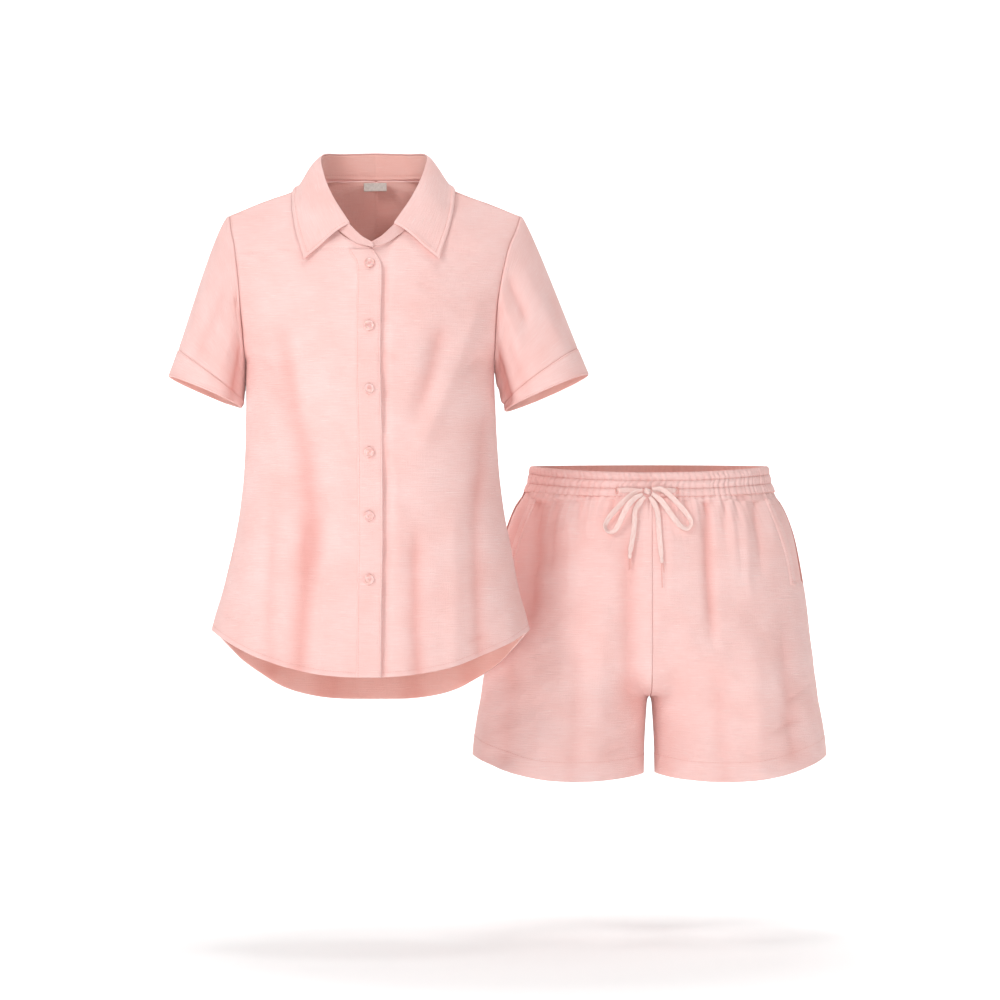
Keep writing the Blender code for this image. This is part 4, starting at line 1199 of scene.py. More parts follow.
def build_buttons(top, columns):
    """Six buttons sewn down the placket's middle, each over the end of its buttonhole."""
    middle = top[:, len(columns) // 2]
    middle = middle[np.argsort(middle[:, 2])]
    shape = button_mesh("four_hole_button")
    place = np.empty(len(shape.vertices) * 3)
    shape.vertices.foreach_get("co", place)
    place = place.reshape(-1, 3) * 1000
    arches, made = [], []
    for index in range(BUTTONS):
        z = TOP_BUTTON - index * BUTTON_SPACING
        y, y_up = np.interp((z, z + BUTTON_DIAMETER), middle[:, 2], middle[:, 1])
        tilt = math.atan2(y_up - y, BUTTON_DIAMETER)
        spin = random.uniform(-0.4, 0.4)
        c, s = math.cos(tilt), math.sin(tilt)
        lean_back = np.array([[1, 0, 0], [0, c, s], [0, -s, c]])
        c, s = math.cos(spin), math.sin(spin)
        spun = np.array([[c, 0, s], [0, 1, 0], [-s, 0, c]])
        turned = lean_back @ spun
        seat = np.array([CENTRE_FRONT, y - BUTTON_SEAT + 0.5, z])
        mesh = shape.copy()
        mesh.vertices.foreach_set("co", ((place @ turned.T + seat) / 1000).ravel())
        button = add_object(f"button_{index + 1}_four_hole", mesh)
        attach(button, "root")
        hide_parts(f"button_{index + 1}")
        made.append(button)
        for column in (-HOLE_PLACE, HOLE_PLACE):
            for push in (-0.26, 0.0, 0.26):
                x = column + push
                arch = [(x, -1.2, -HOLE_PLACE), (x, -2.45, -0.6), (x, -2.45, 0.6), (x, -1.2, HOLE_PLACE)]
                arches.append([turned @ np.array(p) + seat for p in arch])
        for side in (-0.45, 0.45):
            for end in (-1, 1):
                edge = [(side, 0.15, end * 5.5), (side, 0.1, end * 7.2), (0.0, 0.1, end * 8.2)]
                arches.append([lean_back @ np.array(p) + seat for p in edge])
    return made, threads("button_threads", arches, BUTTON_THREAD)


def build_label():
    """A blank ribbon, folded into a loop and sewn in along its top."""
    width, height, thick = LABEL
    x = np.linspace(-width / 2, width / 2, 24) + COLLAR_LEAN
    t = np.linspace(0, 1, 14)[:, None]
    y = LABEL_Y - x * x / LABEL_BOW - 0.5 * t**2 + 0.25 * np.sin(x / 4.5)
    z = LABEL_TOP - height * t + 0.2 * np.sin(x / 6)
    grid = np.stack([np.broadcast_to(x, y.shape), y, z], axis=-1)
    edge = 0.35 * (1 - smoothstep(0, 0.08, 1 - t)) + 0.15 * bell(t - 0.12, 0.04)
    forward = np.zeros_like(grid)
    forward[..., 1] = -1
    front = grid + (thick * 0.7 - edge)[..., None] * forward
    made = shell("neck_label_ribbon", [(grid, front, grain_of(grid), 0.0)], RIBBON_FINISH,
                 slot="label_ribbon")
    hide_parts("neck_label")
    return made


# Shorts

SHORTS_GRID = (88, 160)
BAND_POINTS = (7, 37)
GATHERS = 112
GATHER_HEIGHT = 2.4
CHANNEL_PUFF = 2.5
CHANNEL_SEAM = 0.1
PANEL_GATHER = 4.2
PANEL_GATHER_REACH = 30
SIDE_EASE = 0.45

# Hem to waist seam, on a ring about the shorts' centre: split is 0 where the section runs on
# to the centre line and 1 where it closes round the leg
SHORTS_ROWS = (
    # x_in, x_out, half depth, split, z_in, z_mid, z_out
    (9.0, 235.5, 106, 1.0, -767, -773, -742),
    (8.4, 233, 108, 1.0, -738, -744, -716),
    (7.2, 229.5, 111, 1.0, -711, -716, -692),
    (5.6, 225, 114, 1.0, -686, -690, -668),
    (4.0, 222, 117, 1.0, -665, -664, -646),
    (2.4, 219, 118, 0.965, -662, -643, -628),
    (1.0, 217, 119, 0.86, -655, -622, -610),
    (0.6, 214.5, 120, 0.60, -634, -598, -590),
    (0.6, 212, 121, 0.28, -598, -570, -566),
    (0.6, 208.5, 121, 0.0, -552, -538, -534),
    (0.6, 202, 119, 0.0, -502, -494, -492),
    (0.6, 193, 112, 0.0, -456, -450, -449),
    (0.6, 180, 104, 0.0, -421, -417, -414),
    (0.6, 166.5, 97, 0.0, -401, -399, -394),
)
WAIST_ROWS = (
    # half width, half depth, z front, z side, z back
    (165, 96, -399.5, -392.5, -392),
    (160, 93, -388.5, -380, -380),
    (157.5, 91.5, -377.5, -368, -368),
    (155.5, 90.5, -366.5, -357.5, -355.5),
)
MID_SHARE = 0.33
INNER_CLIMB = 1.6
OUTER_CLIMB = 2.6

# Slant pocket edges: sideways from the shorts' centre and height, top to bottom
POCKET_ROWS = (
    # x, z
    (160, -402),
    (175, -440),
    (187, -478),
    (194, -515),
)
POCKET_EDGE = 8.0
POCKET_STEP = 3.2
DENT = (181, -476)
DENT_DEPTH = 1.6
SHORTS_HEM = 27.0
SHORTS_FOLD_DEPTH = 1.15
CENTRE_GAP = 0.15
CROTCH = (-663.0, -676.0)
TUCK = 1.2

# Folds pressed into the shorts, in the same columns as the shirt's
SHORTS_FRONT_RIGHT_FOLDS = (
    (149, -402, 168, -610, 4, 13, 5.0, 1.7, 0.02, 0.35),
    (124, -402, 132, -520, -3, 7, 3.0, 1.6, 0.02, 0.5),
    (108, -402, 112, -560, 2, 9, -2.6, 1.7, 0.05, 0.4),
    (96, -402, 100, -470, 2, 5, 2.2, 1.6, 0.02, 0.6),
    (80, -402, 84, -480, -1, 5, -1.6, 1.6, 0.02, 0.6),
    (52, -402, 56, -452, 1, 4.5, 2.2, 1.6, 0.02, 0.6),
    (40, -402, 40, -440, 0, 4, -1.4, 1.6, 0.02, 0.6),
    (30, -440, 26, -690, -5, 15, 4.4, 1.7, 0.2, 0.2),
    (66, -470, 76, -760, 4, 17, -2.6, 1.7, 0.2, 0.1),
    (100, -560, 106, -775, 3, 13, 2.4, 1.7, 0.3, 0.05),
    (140, -600, 150, -770, -3, 13, -2.0, 1.7, 0.3, 0.05),
    (182, -560, 196, -760, 2, 13, 3.0, 1.6, 0.3, 0.1),
    (214, -640, 224, -760, 0, 8, -1.6, 1.6, 0.3, 0.1),
    (20, -700, 66, -722, 4, 5, 1.2, 1.4, 0.2, 0.5),
    (30, -728, 74, -744, -3, 5, 1.2, 1.4, 0.2, 0.5),
    (60, -684, 24, -668, 2, 4, -0.9, 1.4, 0.3, 0.5),
    (150, -696, 196, -716, 3, 5, 0.9, 1.4, 0.3, 0.5),
    (174, -402, 182, -470, 0, 6, 2.4, 1.6, 0.02, 0.6),
)
SHORTS_FRONT_LEFT_FOLDS = (
    (72, -402, 82, -620, 3, 8, 5.2, 1.7, 0.02, 0.4),
    (96, -402, 99, -470, 1, 4.5, 2.6, 1.6, 0.02, 0.6),
    (104, -402, 112, -520, 1, 5, -2.4, 1.6, 0.02, 0.5),
    (122, -402, 130, -560, 2, 8, -3.2, 1.7, 0.03, 0.4),
    (138, -402, 148, -520, 2, 7, 3.2, 1.6, 0.02, 0.5),
    (156, -402, 166, -480, 2, 6, -2.0, 1.6, 0.02, 0.5),
    (44, -402, 48, -460, 1, 5, 2.2, 1.6, 0.02, 0.6),
    (58, -402, 58, -450, 0, 4, -1.6, 1.6, 0.02, 0.6),
    (26, -430, 22, -560, 0, 9, -1.6, 1.7, 0.2, 0.4),
    (44, -560, 50, -770, -4, 16, -2.4, 1.7, 0.2, 0.05),
    (84, -600, 98, -775, 4, 14, 2.8, 1.7, 0.3, 0.05),
    (128, -560, 140, -770, -4, 16, -2.8, 1.7, 0.3, 0.05),
    (174, -540, 190, -760, 4, 15, 3.4, 1.6, 0.3, 0.1),
    (208, -600, 222, -750, 2, 9, -1.8, 1.6, 0.3, 0.1),
    (170, -672, 222, -634, 4, 6, 1.8, 1.4, 0.3, 0.4),
    (150, -716, 214, -688, -4, 6, 1.7, 1.4, 0.3, 0.4),
    (96, -706, 146, -690, 3, 5, 1.2, 1.4, 0.3, 0.5),
    (110, -738, 170, -722, 3, 5, 1.1, 1.4, 0.3, 0.5),
    (14, -610, 40, -628, 2, 4, 0.8, 1.4, 0.2, 0.5),
)
SHORTS_BACK_RIGHT_FOLDS = (
    (44, -398, 48, -640, 4, 12, 4.6, 1.7, 0.02, 0.3),
    (76, -398, 84, -560, -3, 9, -2.8, 1.7, 0.02, 0.4),
    (102, -398, 112, -700, 4, 13, 5.2, 1.7, 0.02, 0.2),
    (136, -398, 146, -540, -2, 9, -2.6, 1.7, 0.02, 0.4),
    (162, -398, 178, -660, 3, 12, 4.6, 1.7, 0.02, 0.3),
    (28, -420, 20, -560, 0, 9, -2.0, 1.7, 0.2, 0.4),
    (66, -640, 72, -775, 3, 14, 2.6, 1.7, 0.3, 0.05),
    (150, -620, 160, -770, -3, 14, -2.4, 1.7, 0.3, 0.05),
    (20, -668, 78, -640, 4, 7, 2.0, 1.4, 0.2, 0.5),
    (24, -700, 90, -684, -3, 6, 1.5, 1.4, 0.2, 0.5),
)
SHORTS_BACK_LEFT_FOLDS = (
    (52, -398, 58, -660, -4, 13, 5.0, 1.7, 0.02, 0.3),
    (84, -398, 90, -540, 2, 8, -2.6, 1.7, 0.02, 0.4),
    (114, -398, 124, -690, -4, 13, 5.0, 1.7, 0.02, 0.2),
    (144, -398, 154, -560, 3, 9, -2.8, 1.7, 0.02, 0.4),
    (168, -398, 182, -640, -2, 11, 4.2, 1.7, 0.02, 0.3),
    (26, -440, 22, -600, 0, 10, -2.0, 1.7, 0.2, 0.4),
    (78, -630, 86, -775, -3, 13, 2.4, 1.7, 0.3, 0.05),
    (140, -640, 150, -770, 3, 14, -2.6, 1.7, 0.3, 0.05),
    (18, -660, 84, -632, -4, 7, 1.9, 1.4, 0.2, 0.5),
    (30, -706, 96, -690, 3, 6, 1.4, 1.4, 0.2, 0.5),
)
SHORTS_FOLDS = {
    (-1, -1): SHORTS_FRONT_RIGHT_FOLDS,
    (1, -1): SHORTS_FRONT_LEFT_FOLDS,
    (-1, 1): SHORTS_BACK_RIGHT_FOLDS,
    (1, 1): SHORTS_BACK_LEFT_FOLDS,
}


def gather_profile(turn):
    """Heights of the gathers round the waist: none are quite alike in width or depth."""
    draw = np.random.default_rng(17)
    gaps = draw.uniform(0.62, 1.38, GATHERS)
    edges = np.concatenate([[0], np.cumsum(gaps)])
    edges = edges / edges[-1] * 2 * math.pi
    heights = draw.uniform(0.45, 1.15, GATHERS)
    where = np.mod(turn, 2 * math.pi)
    index = np.clip(np.searchsorted(edges, where, side="right") - 1, 0, GATHERS - 1)
    share = (where - edges[index]) / (edges[index + 1] - edges[index])
    return heights[index] * np.sin(math.pi * share) ** 0.8


def waist_point(row, turn):
    """A place on one of the waist's rings, turned from the front towards the wearer's left."""
    half_w, half_d, z_front, z_side, z_back = row
    x = half_w * np.sin(turn)
    y = -half_d * np.cos(turn)
    end = np.where(np.cos(turn) > 0, z_front, z_back)
    z = z_side + (end - z_side) * np.abs(np.cos(turn)) ** 1.5
    return np.stack([SHORTS_X + x, SHORTS_Y + y, z], axis=-1)


def waist_turn(points):
    away = points[..., :2] - np.array([SHORTS_X, SHORTS_Y])
    half_w, half_d = WAIST_ROWS[0][:2]
    return np.arctan2(away[..., 0] / half_w, -away[..., 1] / half_d)


def pocket_step(x, z):
    """The facing inside the slant opening lies lower than the front that crosses it."""
    rows = np.array(POCKET_ROWS, float)
    line = np.interp(z, rows[::-1, 1], rows[::-1, 0])
    past = x - line
    along = smoothstep(-519, -509, z) * (1 - smoothstep(-408, -396, z) * 0.4)
    return along * POCKET_STEP * smoothstep(-0.4, 0.9, past) * (1 - smoothstep(6, 30, past))


def shorts_panel(side, face, columns, rows):
    """A quarter of the shorts on its solid's form, with gathers and folds."""
    share = (1 - np.cos(np.linspace(0, math.pi, columns))) / 2 * 0.5 + np.linspace(0, 1, columns) * 0.5
    grid = []
    last = len(SHORTS_ROWS) - 1
    places = joined_spans((0, 1.6, rows // 4), (1.6, last - 1.4, rows // 2), (last - 1.4, last, rows // 4))
    for x_in, x_out, depth, split, z_in, z_mid, z_out in curve_at(SHORTS_ROWS, places):
        centre = min(max(split, 0), 1) * (x_in + x_out) / 2
        x_in = CENTRE_GAP + max(x_in - 0.6, 0) * smoothstep(*CROTCH, z_mid)
        x = x_in + (x_out - x_in) * share
        y = depth * np.sqrt(np.maximum(0, 1 - ((x - centre) / (x_out - centre)) ** 2))
        inner = np.clip(1 - share / MID_SHARE, 0, 1)
        outer = np.clip((share - MID_SHARE) / (1 - MID_SHARE), 0, 1)
        z = z_mid + (z_in - z_mid) * inner**INNER_CLIMB + (z_out - z_mid) * outer**OUTER_CLIMB
        grid.append(np.stack([SHORTS_X + side * x, SHORTS_Y + face * y, z], axis=-1))
    grid = np.array(grid)
    seam = waist_point(WAIST_ROWS[0], waist_turn(grid[-1]))
    ease = smoothstep(0, 1, np.linspace(0, 1, 12))[:, None] ** 2
    grid[-12:, :, 2] += ease * (seam[:, 2] + TUCK - grid[-1, :, 2])
    out = facing(grid_normals(grid), grid - np.array([SHORTS_X + side * 110, SHORTS_Y, -500]))
    x, z = np.abs(grid[..., 0] - SHORTS_X), grid[..., 2]
    room = smoothstep(0, 0.55, np.abs(grid[..., 1] - SHORTS_Y) / 110) * (0.15 + 0.85 * smoothstep(0, 14, x))
    depth = pressed(SHORTS_FOLDS[side, face], x, z) * room * SHORTS_FOLD_DEPTH
    soft = rumple(x + 900 * (face > 0), z, SHORTS_SOFTNESS, 41 + side) * room
    below = grid[-1, :, 2] - z
    gathers = gather_profile(waist_turn(grid[-1]) + 0.02)
    fade = np.exp(-((below / PANEL_GATHER_REACH) ** 1.1)) * smoothstep(-1, 2, below)
    depth += (0.5 - gathers) * PANEL_GATHER * fade
    if face < 0:
        depth += pocket_step(x, z)
        depth += DENT_DEPTH * bell(np.hypot(x - DENT[0], z - DENT[1]), 3.0)
    grid = grid - (depth + soft)[..., None] * out
    return grid, out, depth


def shorts_pinch(grid):
    """How far the panel draws in at its centre, side and waist seams."""
    near = run_along(grid, 1)
    far = near[:, -1:] - near
    top = run_along(grid, 0, far=True)
    seams = 0.45 * bell(near, 2.0) + bell(far, 3.0)
    return np.minimum(seams + 0.8 * bell(top, 2.5), 1) * PINCH


def build_shorts():
    made, lines, fronts = {}, [], {}
    rows_near_hem = 20
    for side, hand in ((-1, "right"), (1, "left")):
        for face, name in ((-1, "front"), (1, "back")):
            grid, out, depth = shorts_panel(side, face, *SHORTS_GRID)
            lift = hem_lift(grid, SHORTS_HEM, 0.9)
            pinch = shorts_pinch(grid)
            low = grid + (0.2 - 0.4 * lift - 0.3 * pinch)[..., None] * out
            high = grid + (CLOTH + 0.4 * lift - pinch)[..., None] * out
            run = run_along(grid, 1)
            run -= run[:, run.shape[1] // 2, None]
            grain = np.stack([side * run + 700 * face, grid[..., 2]], axis=-1)
            # Painted shade in the folds, gathers and pocket facing, and along the seams where the cloth draws
            # in
            painted_shade = np.clip(painted_shade_of(depth, 7.5) + 0.15 * pinch, 0, 1)
            piece = shell(f"shorts_{name}_{hand}_cloth", [(low, high, grain, painted_shade)], CLOTH_FINISH,
                          inside=INSIDE_PAINTED_BOUNCE_FINISH)
            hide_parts(f"shorts_{name}_{hand}")
            made[f"shorts_{name}_{hand}"] = piece
            hem = above_hem(high, SHORTS_HEM - 1.5)
            lines.append((hem, out[rows_near_hem]))
            if face < 0:
                fronts[hand] = (high, out)
    made["stitches"] = stitches("shorts_hem_stitches", lines)
    return made, fronts


def build_waistband():
    """Three elastic channels between four rows of stitching, gathered all round."""
    around, up = GATHERS * BAND_POINTS[0], BAND_POINTS[1]
    turn = np.arange(around) / around * 2 * math.pi
    places = np.linspace(0, len(WAIST_ROWS) - 1, up)
    table = curve_at(WAIST_ROWS, places)
    ease = SIDE_EASE + (1 - SIDE_EASE) * np.abs(np.cos(turn))
    outside, inside, out, painted_shade = [], [], [], []
    for row, place in zip(table, places):
        ring = waist_point(row, turn)
        away = unit(np.stack([np.sin(turn) / row[0], -np.cos(turn) / row[1], 0 * turn], axis=-1))
        share = place % 1 if place < len(WAIST_ROWS) - 1 else 1.0
        belly = math.sin(math.pi * share) ** 0.6 if 0 < share < 1 else 0.0
        sway = 0.012 * math.sin(place * 2.1) + 0.006 * math.sin(place * 5.3)
        wave = gather_profile(turn + sway) * 0.75 + 0.25 * gather_profile(turn + sway * 2 + 1.3)
        lift = BAND + (CHANNEL_SEAM + (CHANNEL_PUFF - CHANNEL_SEAM) * belly) * ease
        lift = lift + GATHER_HEIGHT * (wave - 0.35) * (0.75 + 0.25 * belly) * (0.6 + 0.4 * ease)
        lift = lift - 0.9 * math.exp(-(((len(WAIST_ROWS) - 1 - place) / 0.08) ** 2))
        outside.append(ring + away * lift[:, None])
        inner = 0.5 * belly * np.cos(GATHERS * turn) * 0.6
        inside.append(ring + away * inner[:, None])
        out.append(away)
        # Painted shade in the hollows between the gathers
        painted_shade.append(0.55 * np.clip(0.8 - wave, 0, 1) ** 2)
    outside, inside, out = np.array(outside), np.array(inside), np.array(out)
    # Painted shade along the rows where the channels are stitched down
    stitched_row_shade = np.interp(places % 1, [0, 0.12, 0.88, 1], [1, 0, 0, 1])[:, None] * np.ones((1, around))
    grain = grain_of(outside) + np.array([1500, 0])
    made = shell("waistband_channels", [(inside, outside, grain, 0.45 * stitched_row_shade + np.array(painted_shade))], CLOTH_FINISH,
                 inside=INSIDE_PAINTED_BOUNCE_FINISH, closed=True)
    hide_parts("waistband")
    lines = []
    for place in (0.06, 1, 2):
        row = int(np.argmin(np.abs(places - place)))
        ring = np.vstack([outside[row], outside[row, :1]])
        lines.append((ring, np.vstack([out[row], out[row, :1]])))
    return made, stitches("waistband_stitches", lines, lift=0.1)


def build_pockets(fronts):
    """Turned and stitched edges of the slant openings, laid on the fronts."""
    made, lines = [], []
    rows = curve_at(POCKET_ROWS, np.linspace(0, len(POCKET_ROWS) - 1, 60))
    for side, hand in ((-1, "right"), (1, "left")):
        high, out = fronts[hand]
        flat = high.reshape(-1, 3)
        ways = out.reshape(-1, 3)
        across = np.array([0, 0.3, 0.9, 1.8, 3.0, 4.4, 5.6, 6.4, 7.2, POCKET_EDGE])
        strip = []
        for x, z in rows:
            line = []
            for inset in across:
                place = np.array([SHORTS_X + side * (x - inset - 0.6), z])
                gap = np.hypot(flat[:, 0] - place[0], flat[:, 2] - place[1]) + 40 * (flat[:, 1] > SHORTS_Y)
                near = np.argsort(gap)[:4]
                weight = 1 / (gap[near] + 0.2)
                weight /= weight.sum()
                spot = (flat[near] * weight[:, None]).sum(axis=0)
                line.append([place[0], spot[1], place[1], *(ways[near] * weight[:, None]).sum(axis=0)])
            strip.append(line)
        strip = np.array(strip)
        for _ in range(3):
            strip[1:-1, :, 1] = (strip[:-2, :, 1] + 2 * strip[1:-1, :, 1] + strip[2:, :, 1]) / 4
        low, away = strip[..., :3], unit(strip[..., 3:])
        rise = 1.3 * (1 - smoothstep(6.6, POCKET_EDGE, across)) - 0.5 * bell(across, 0.5)
        rise = rise - 0.35 * bell(across - 6.0, 0.8)
        top = low + (0.25 + rise)[None, :, None] * away
        base = low + (0.05 - 0.9 * bell(across, 0.6))[None, :, None] * away
        grain = grain_of(top) + np.array([2100, 300 * side])
        # A faint painted shade over the whole turned edge
        piece = shell(f"pocket_edge_{hand}_fold", [(base, top, grain, 0.05)], CLOTH_FINISH)
        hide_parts(f"pocket_edge_{hand}")
        made.append(piece)
        lines.append((top[:, 6], away[:, 6]))
        for z in (4, len(rows) - 3):
            lines.append((top[z], away[z]))
    return made, stitches("pocket_stitches", lines, lift=0.05)


# Drawstring

def on_shorts(x, z, lift):
    """A place on the shorts' front, this far off the cloth."""
    rows = np.array(FRONT_FACE)
    half = np.interp(z, rows[:, 0], rows[:, 1])
    depth = np.interp(z, rows[:, 0], rows[:, 2])
    return SHORTS_X + x, SHORTS_Y - depth * math.sqrt(1 - (x / half) ** 2) - lift, z


def route_of(rows):
    """A smooth path over the shorts' front through a drawstring's table."""
    return np.array([on_shorts(*row) for row in curve_at(rows, np.linspace(0, len(rows) - 1, 90))])


def tape(name, path, sizes, twist):
    """A flat tie along a path. Sizes are share of the way, width and thickness; twist is share
    of the way and degrees."""
    line = spaced(path, max(12, int(reach_of(path)[-1] / 1.2)))
    share = np.linspace(0, 1, len(line))
    sizes, twist = np.array(sizes, float), np.array(twist, float)
    width = np.interp(share, sizes[:, 0], sizes[:, 1])
    thick = np.interp(share, sizes[:, 0], sizes[:, 2])
    turn = np.radians(np.interp(share, twist[:, 0], twist[:, 1]))
    ahead = unit(np.gradient(line, axis=0))
    side = unit(np.cross(ahead, np.array([0, -1.0, 0.0])))
    out = np.cross(side, ahead)
    side, out = (side * np.cos(turn)[:, None] + out * np.sin(turn)[:, None],
                 out * np.cos(turn)[:, None] - side * np.sin(turn)[:, None])
    around = 16
    angle = np.arange(around) / around * 2 * math.pi
    a = np.sign(np.cos(angle)) * np.abs(np.cos(angle)) ** 0.6
    b = np.sign(np.sin(angle)) * np.abs(np.sin(angle)) ** 0.6
    crown = 0.25 * np.abs(np.cos(angle)) ** 4 * np.sign(np.sin(angle))
    rings = (line[:, None] + side[:, None] * (width[:, None] / 2 * a)[..., None]
             + out[:, None] * (thick[:, None] / 2 * b + crown * (width[:, None] > 4))[..., None])
    count = len(line)
    reach = reach_of(line)
    grain = np.stack([np.broadcast_to(a * TAPE_WIDTH / 2, (count, around)),
                      np.broadcast_to(reach[:, None], (count, around))], axis=-1)
    made = add_piece(name, rings.reshape(-1, 3), tube_faces(count, around), TAPE_FINISH,
                     grain.reshape(-1, 2))
    return made, line, reach[-1]


FULL = ((0, 4.6, 2.4), (0.08, TAPE_WIDTH, TAPE_THICK), (0.92, TAPE_WIDTH, TAPE_THICK), (1, 4.6, 2.4))
TAIL_SIZES = (
    # share of the way, width, thickness, down to the wrapped knot at the end
    (0, 4.6, 2.4), (0.1, TAPE_WIDTH, TAPE_THICK), (0.86, TAPE_WIDTH - 0.4, TAPE_THICK),
    (0.925, 3.6, 2.2), (0.94, 4.9, 4.0), (0.965, 5.2, 4.3), (0.985, 4.4, 3.6), (1.0, 2.6, 2.2),
)
LEAD_SIZES = ((0, 6.4, 1.0), (0.7, 6.8, 1.0), (1, 5.0, 1.6))
BOWS = {
    # route, twist
    "bow_right": (BOW_RIGHT, ((0, 30), (0.2, 8), (0.42, 20), (0.52, 62), (0.62, 18), (0.9, -6), (1, -30))),
    "bow_left": (BOW_LEFT, ((0, -30), (0.2, -8), (0.42, -20), (0.52, -60), (0.62, -18), (0.9, 8), (1, 30))),
}
TAILS = {
    # route, share of the way where the end knot sits, twist
    "tail_right": (TAIL_RIGHT, 0.89, ((0, 20), (0.3, -12), (0.6, 14), (1, 6))),
    "tail_left": (TAIL_LEFT, 0.85, ((0, -20), (0.3, 10), (0.6, -12), (1, 0))),
}


def build_drawstring():
    for name, (rows, twist) in BOWS.items():
        path = route_of(rows)
        made, line, length = tape(f"drawstring_{name}_tape", path, FULL, twist)
        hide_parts(f"drawstring_{name}")
    for name, (rows, knot, twist) in TAILS.items():
        path = route_of(rows)
        cut = int(knot * len(path))
        made, line, length = tape(f"drawstring_{name}_tape", path[:cut], TAIL_SIZES, twist)
        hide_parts(f"drawstring_{name}")
        start, end = line[-3], path[-1]
        push = np.array([1.8, 0.4, 1.5 if name == "tail_right" else 15.0])
        loose = threads(f"drawstring_{name}_ends",
                        [[start, (start + end) / 2 + push * 0.7, end + push],
                         [start, (start + end) / 2 - push * 0.3, end - push * 0.3]], 0.9)
    for hand, (first, last) in LEADS.items():
        x = np.linspace(first, last, 30)
        lift = 1.2 - 2.8 * bell(x - first, 2.0)
        lift = lift + 1.6 * smoothstep(0.5, 1, np.linspace(0, 1, 30))
        z = LEAD_Z + 0.5 * np.sin(x / 7)
        path = np.array([on_shorts(*row) for row in zip(x, z, lift)])
        made, _, _ = tape(f"drawstring_lead_{hand}_tape", path, LEAD_SIZES, ((0, 0), (1, 8)))
        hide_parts(f"drawstring_lead_{hand}")
    around, up = 40, 26
    turn = np.arange(around) / around * 2 * math.pi
    rise = np.linspace(0.06, math.pi - 0.06, up)
    middle = np.array(on_shorts(*KNOT))
    rings = []
    for angle in rise:
        ring = np.stack([np.sin(angle) * np.cos(turn), -np.sin(angle) * np.sin(turn),
                         np.cos(angle) + 0 * turn], axis=-1)
        wrap = bell(ring[:, 0] * 0.8 + ring[:, 2] * 0.35, 0.42)
        crease = 0.10 * np.cos(9 * (ring[:, 2] + 0.3 * ring[:, 0]))
        rings.append(middle + ring * np.array(KNOT_SIZE) * (0.80 + 0.20 * wrap + crease * 0.5)[:, None])
    points = np.array(rings).reshape(-1, 3)
    grain = np.stack(np.meshgrid(turn * 5, rise * 5), axis=-1)
    knot = add_piece("drawstring_bow_knot", points, tube_faces(up, around), TAPE_FINISH,
                     grain.reshape(-1, 2))
    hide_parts("drawstring_knot")
    ovals = []
    for hand, (first, _) in LEADS.items():
        for size in (0.0, 0.5):
            for begin in (0, 1, 2, 3):
                turn = (begin + np.linspace(0, 1, 5)) * math.pi / 2
                ovals.append([np.array(on_shorts(first + (1.3 + size) * math.cos(a),
                                                 LEAD_Z + (4.3 + size) * math.sin(a), 0.3)) for a in turn])
    eyelets = threads("drawstring_eyelets", ovals, 0.7)


# Light and ground, in metres

FLOOR = -0.988
LIGHTS = (
    # name, place, aim, size, watts
    ("key", (-2.6, -3.1, 1.9), (0.1, 0, -0.35), 1.4, 72),
    ("fill", (0.7, -4.7, 0.1), (0.15, 0, -0.35), 1.0, 46),
    ("top", (0.2, -0.15, 2.4), (0.2, 0.0, -0.9), 1.3, 26),
)
WORLD_LIGHT = 0.27

# The paper: front edge, where it starts to bend up, radius of the bend, top, half its width
PAPER = (-6.0, 1.2, 1.5, 4.0, 5.0)
# Its glow: distances from the middle of the set where it starts and ends to rise, and its strengths
PAPER_MIDDLE = (0.2, 0.0, FLOOR)
PAPER_GLOW = (0.35, 1.1, 0.16, 0.65)


def build_light():
    world = bpy.data.worlds.new("studio")
    world.use_nodes = True
    world.node_tree.nodes["Background"].inputs["Color"].default_value = (1, 1, 1, 1)
    world.node_tree.nodes["Background"].inputs["Strength"].default_value = WORLD_LIGHT
    bpy.context.scene.world = world
    for name, place, aim, size, watts in LIGHTS:
        lamp = bpy.data.lights.new(name, "AREA")
        lamp.shape = "DISK"
        lamp.size = size
        lamp.energy = watts
        made = add_object(name, lamp)
        made.location = place
        way = np.array(aim) - np.array(place)
        level = math.hypot(way[0], way[1])
        made.rotation_euler = (math.atan2(level, -way[2]), 0, math.atan2(-way[0], way[1]))


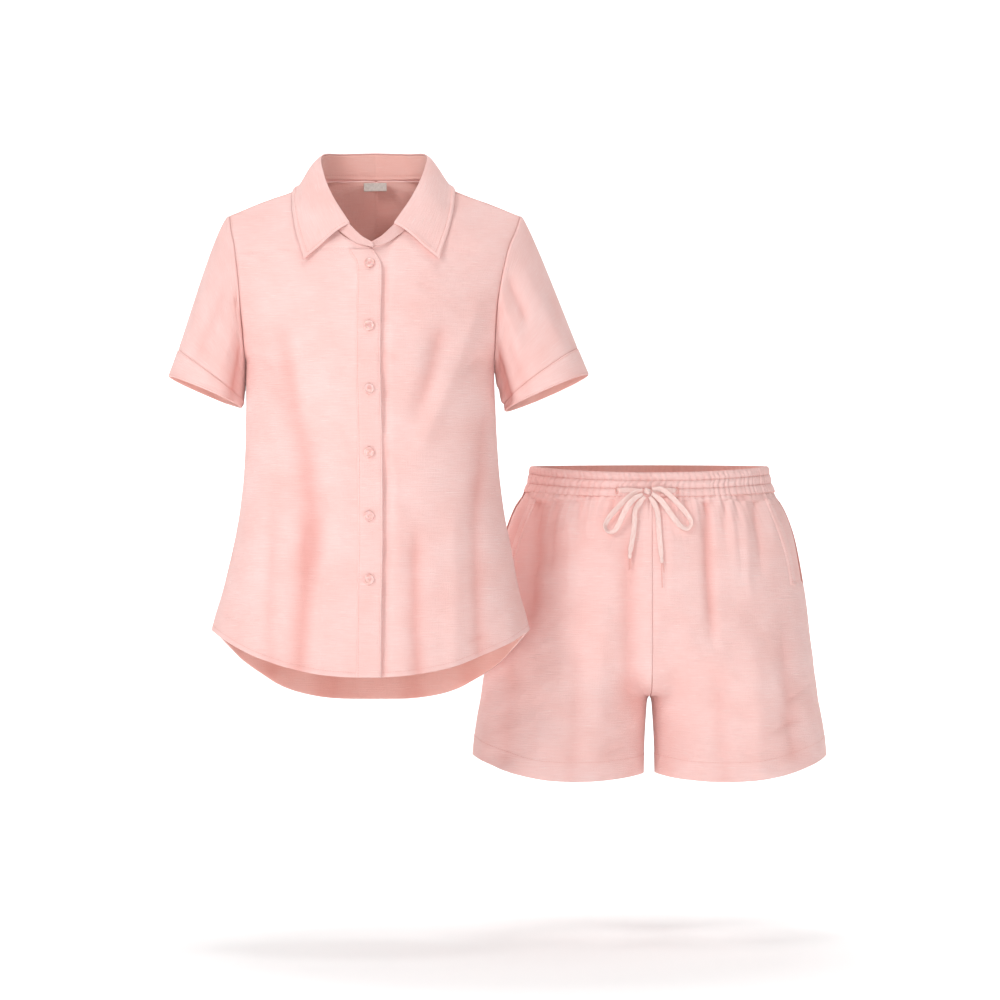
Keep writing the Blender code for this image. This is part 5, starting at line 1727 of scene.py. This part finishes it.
def build_ground():
    """A white sweep: flat under the set, then curving up behind it."""
    paper = Finish("white_paper", 0.9)
    place = paper.node("ShaderNodeTexCoord").outputs["Object"]
    grain = paper.noise(place, 6, 2, 0.6)
    shade = paper.mix(grain, linear("#F2F2F2"), linear("#F6F6F6"))
    # The paper glows as painted light: faintly under the set, so the set's shadow shows there, and more
    # strongly further away, so that the far paper shows pure white
    away = paper.node("ShaderNodeVectorMath", {"operation": "DISTANCE"}, _0=place, _1=PAPER_MIDDLE)
    glow = paper.span(away.outputs["Value"], *PAPER_GLOW)
    paper.set(Base_Color=shade, Specular_IOR_Level=0.1, Emission_Color=(1, 1, 1, 1),
              Emission_Strength=glow)
    # From behind or below, the paper lets the set be seen
    through = paper.node("ShaderNodeBsdfTransparent")
    behind = paper.node("ShaderNodeNewGeometry").outputs["Backfacing"]
    joined = paper.node("ShaderNodeMixShader", None, _0=behind, _1=paper.shader.outputs[0],
                        _2=through.outputs[0])
    paper.feed(paper.tree.nodes["Material Output"].inputs["Surface"], joined.outputs[0])
    front, start, bend, top, half = PAPER
    profile = [(y, FLOOR) for y in np.linspace(front, start, 20)]
    profile += [(start + bend * math.sin(a), FLOOR + bend * (1 - math.cos(a)))
                for a in np.linspace(0.06, math.pi / 2, 24)]
    profile += [(start + bend, z) for z in np.linspace(0.7, top, 8)]
    points = [(x, y, z) for y, z in profile for x in (-half, half)]
    faces = [tuple(cell) for cell in grid_cells(len(profile), 2, False)]
    mesh = bpy.data.meshes.new("paper_sweep")
    mesh.from_pydata(points, [], faces)
    mesh.materials.append(paper.material)
    mesh.shade_smooth()
    add_object("paper_sweep", mesh)


def build_all():
    bpy.context.scene.view_settings.view_transform = "Standard"
    place_camera()
    build_drawstring()
    shirt, sheets = build_shirt_body()
    sleeves = build_sleeves()
    shirt_lines, sleeve_lines = shirt.pop("stitches"), sleeves.pop("stitches")
    body = sheets["shirt_front_right"] + sheets["shirt_front_left"] + sheets["shirt_back"]
    collar = build_collar(body)
    collar_lines = collar.pop("stitches")
    band, band_lines, top, columns = build_placket(sheets["shirt_front_right"][0])
    buttons, button_threads = build_buttons(top, columns)
    label = build_label()
    shorts, fronts = build_shorts()
    shorts_lines = shorts.pop("stitches")
    waist, waist_lines = build_waistband()
    pockets, pocket_lines = build_pockets(fronts)
    build_light()
    build_ground()


build_all()
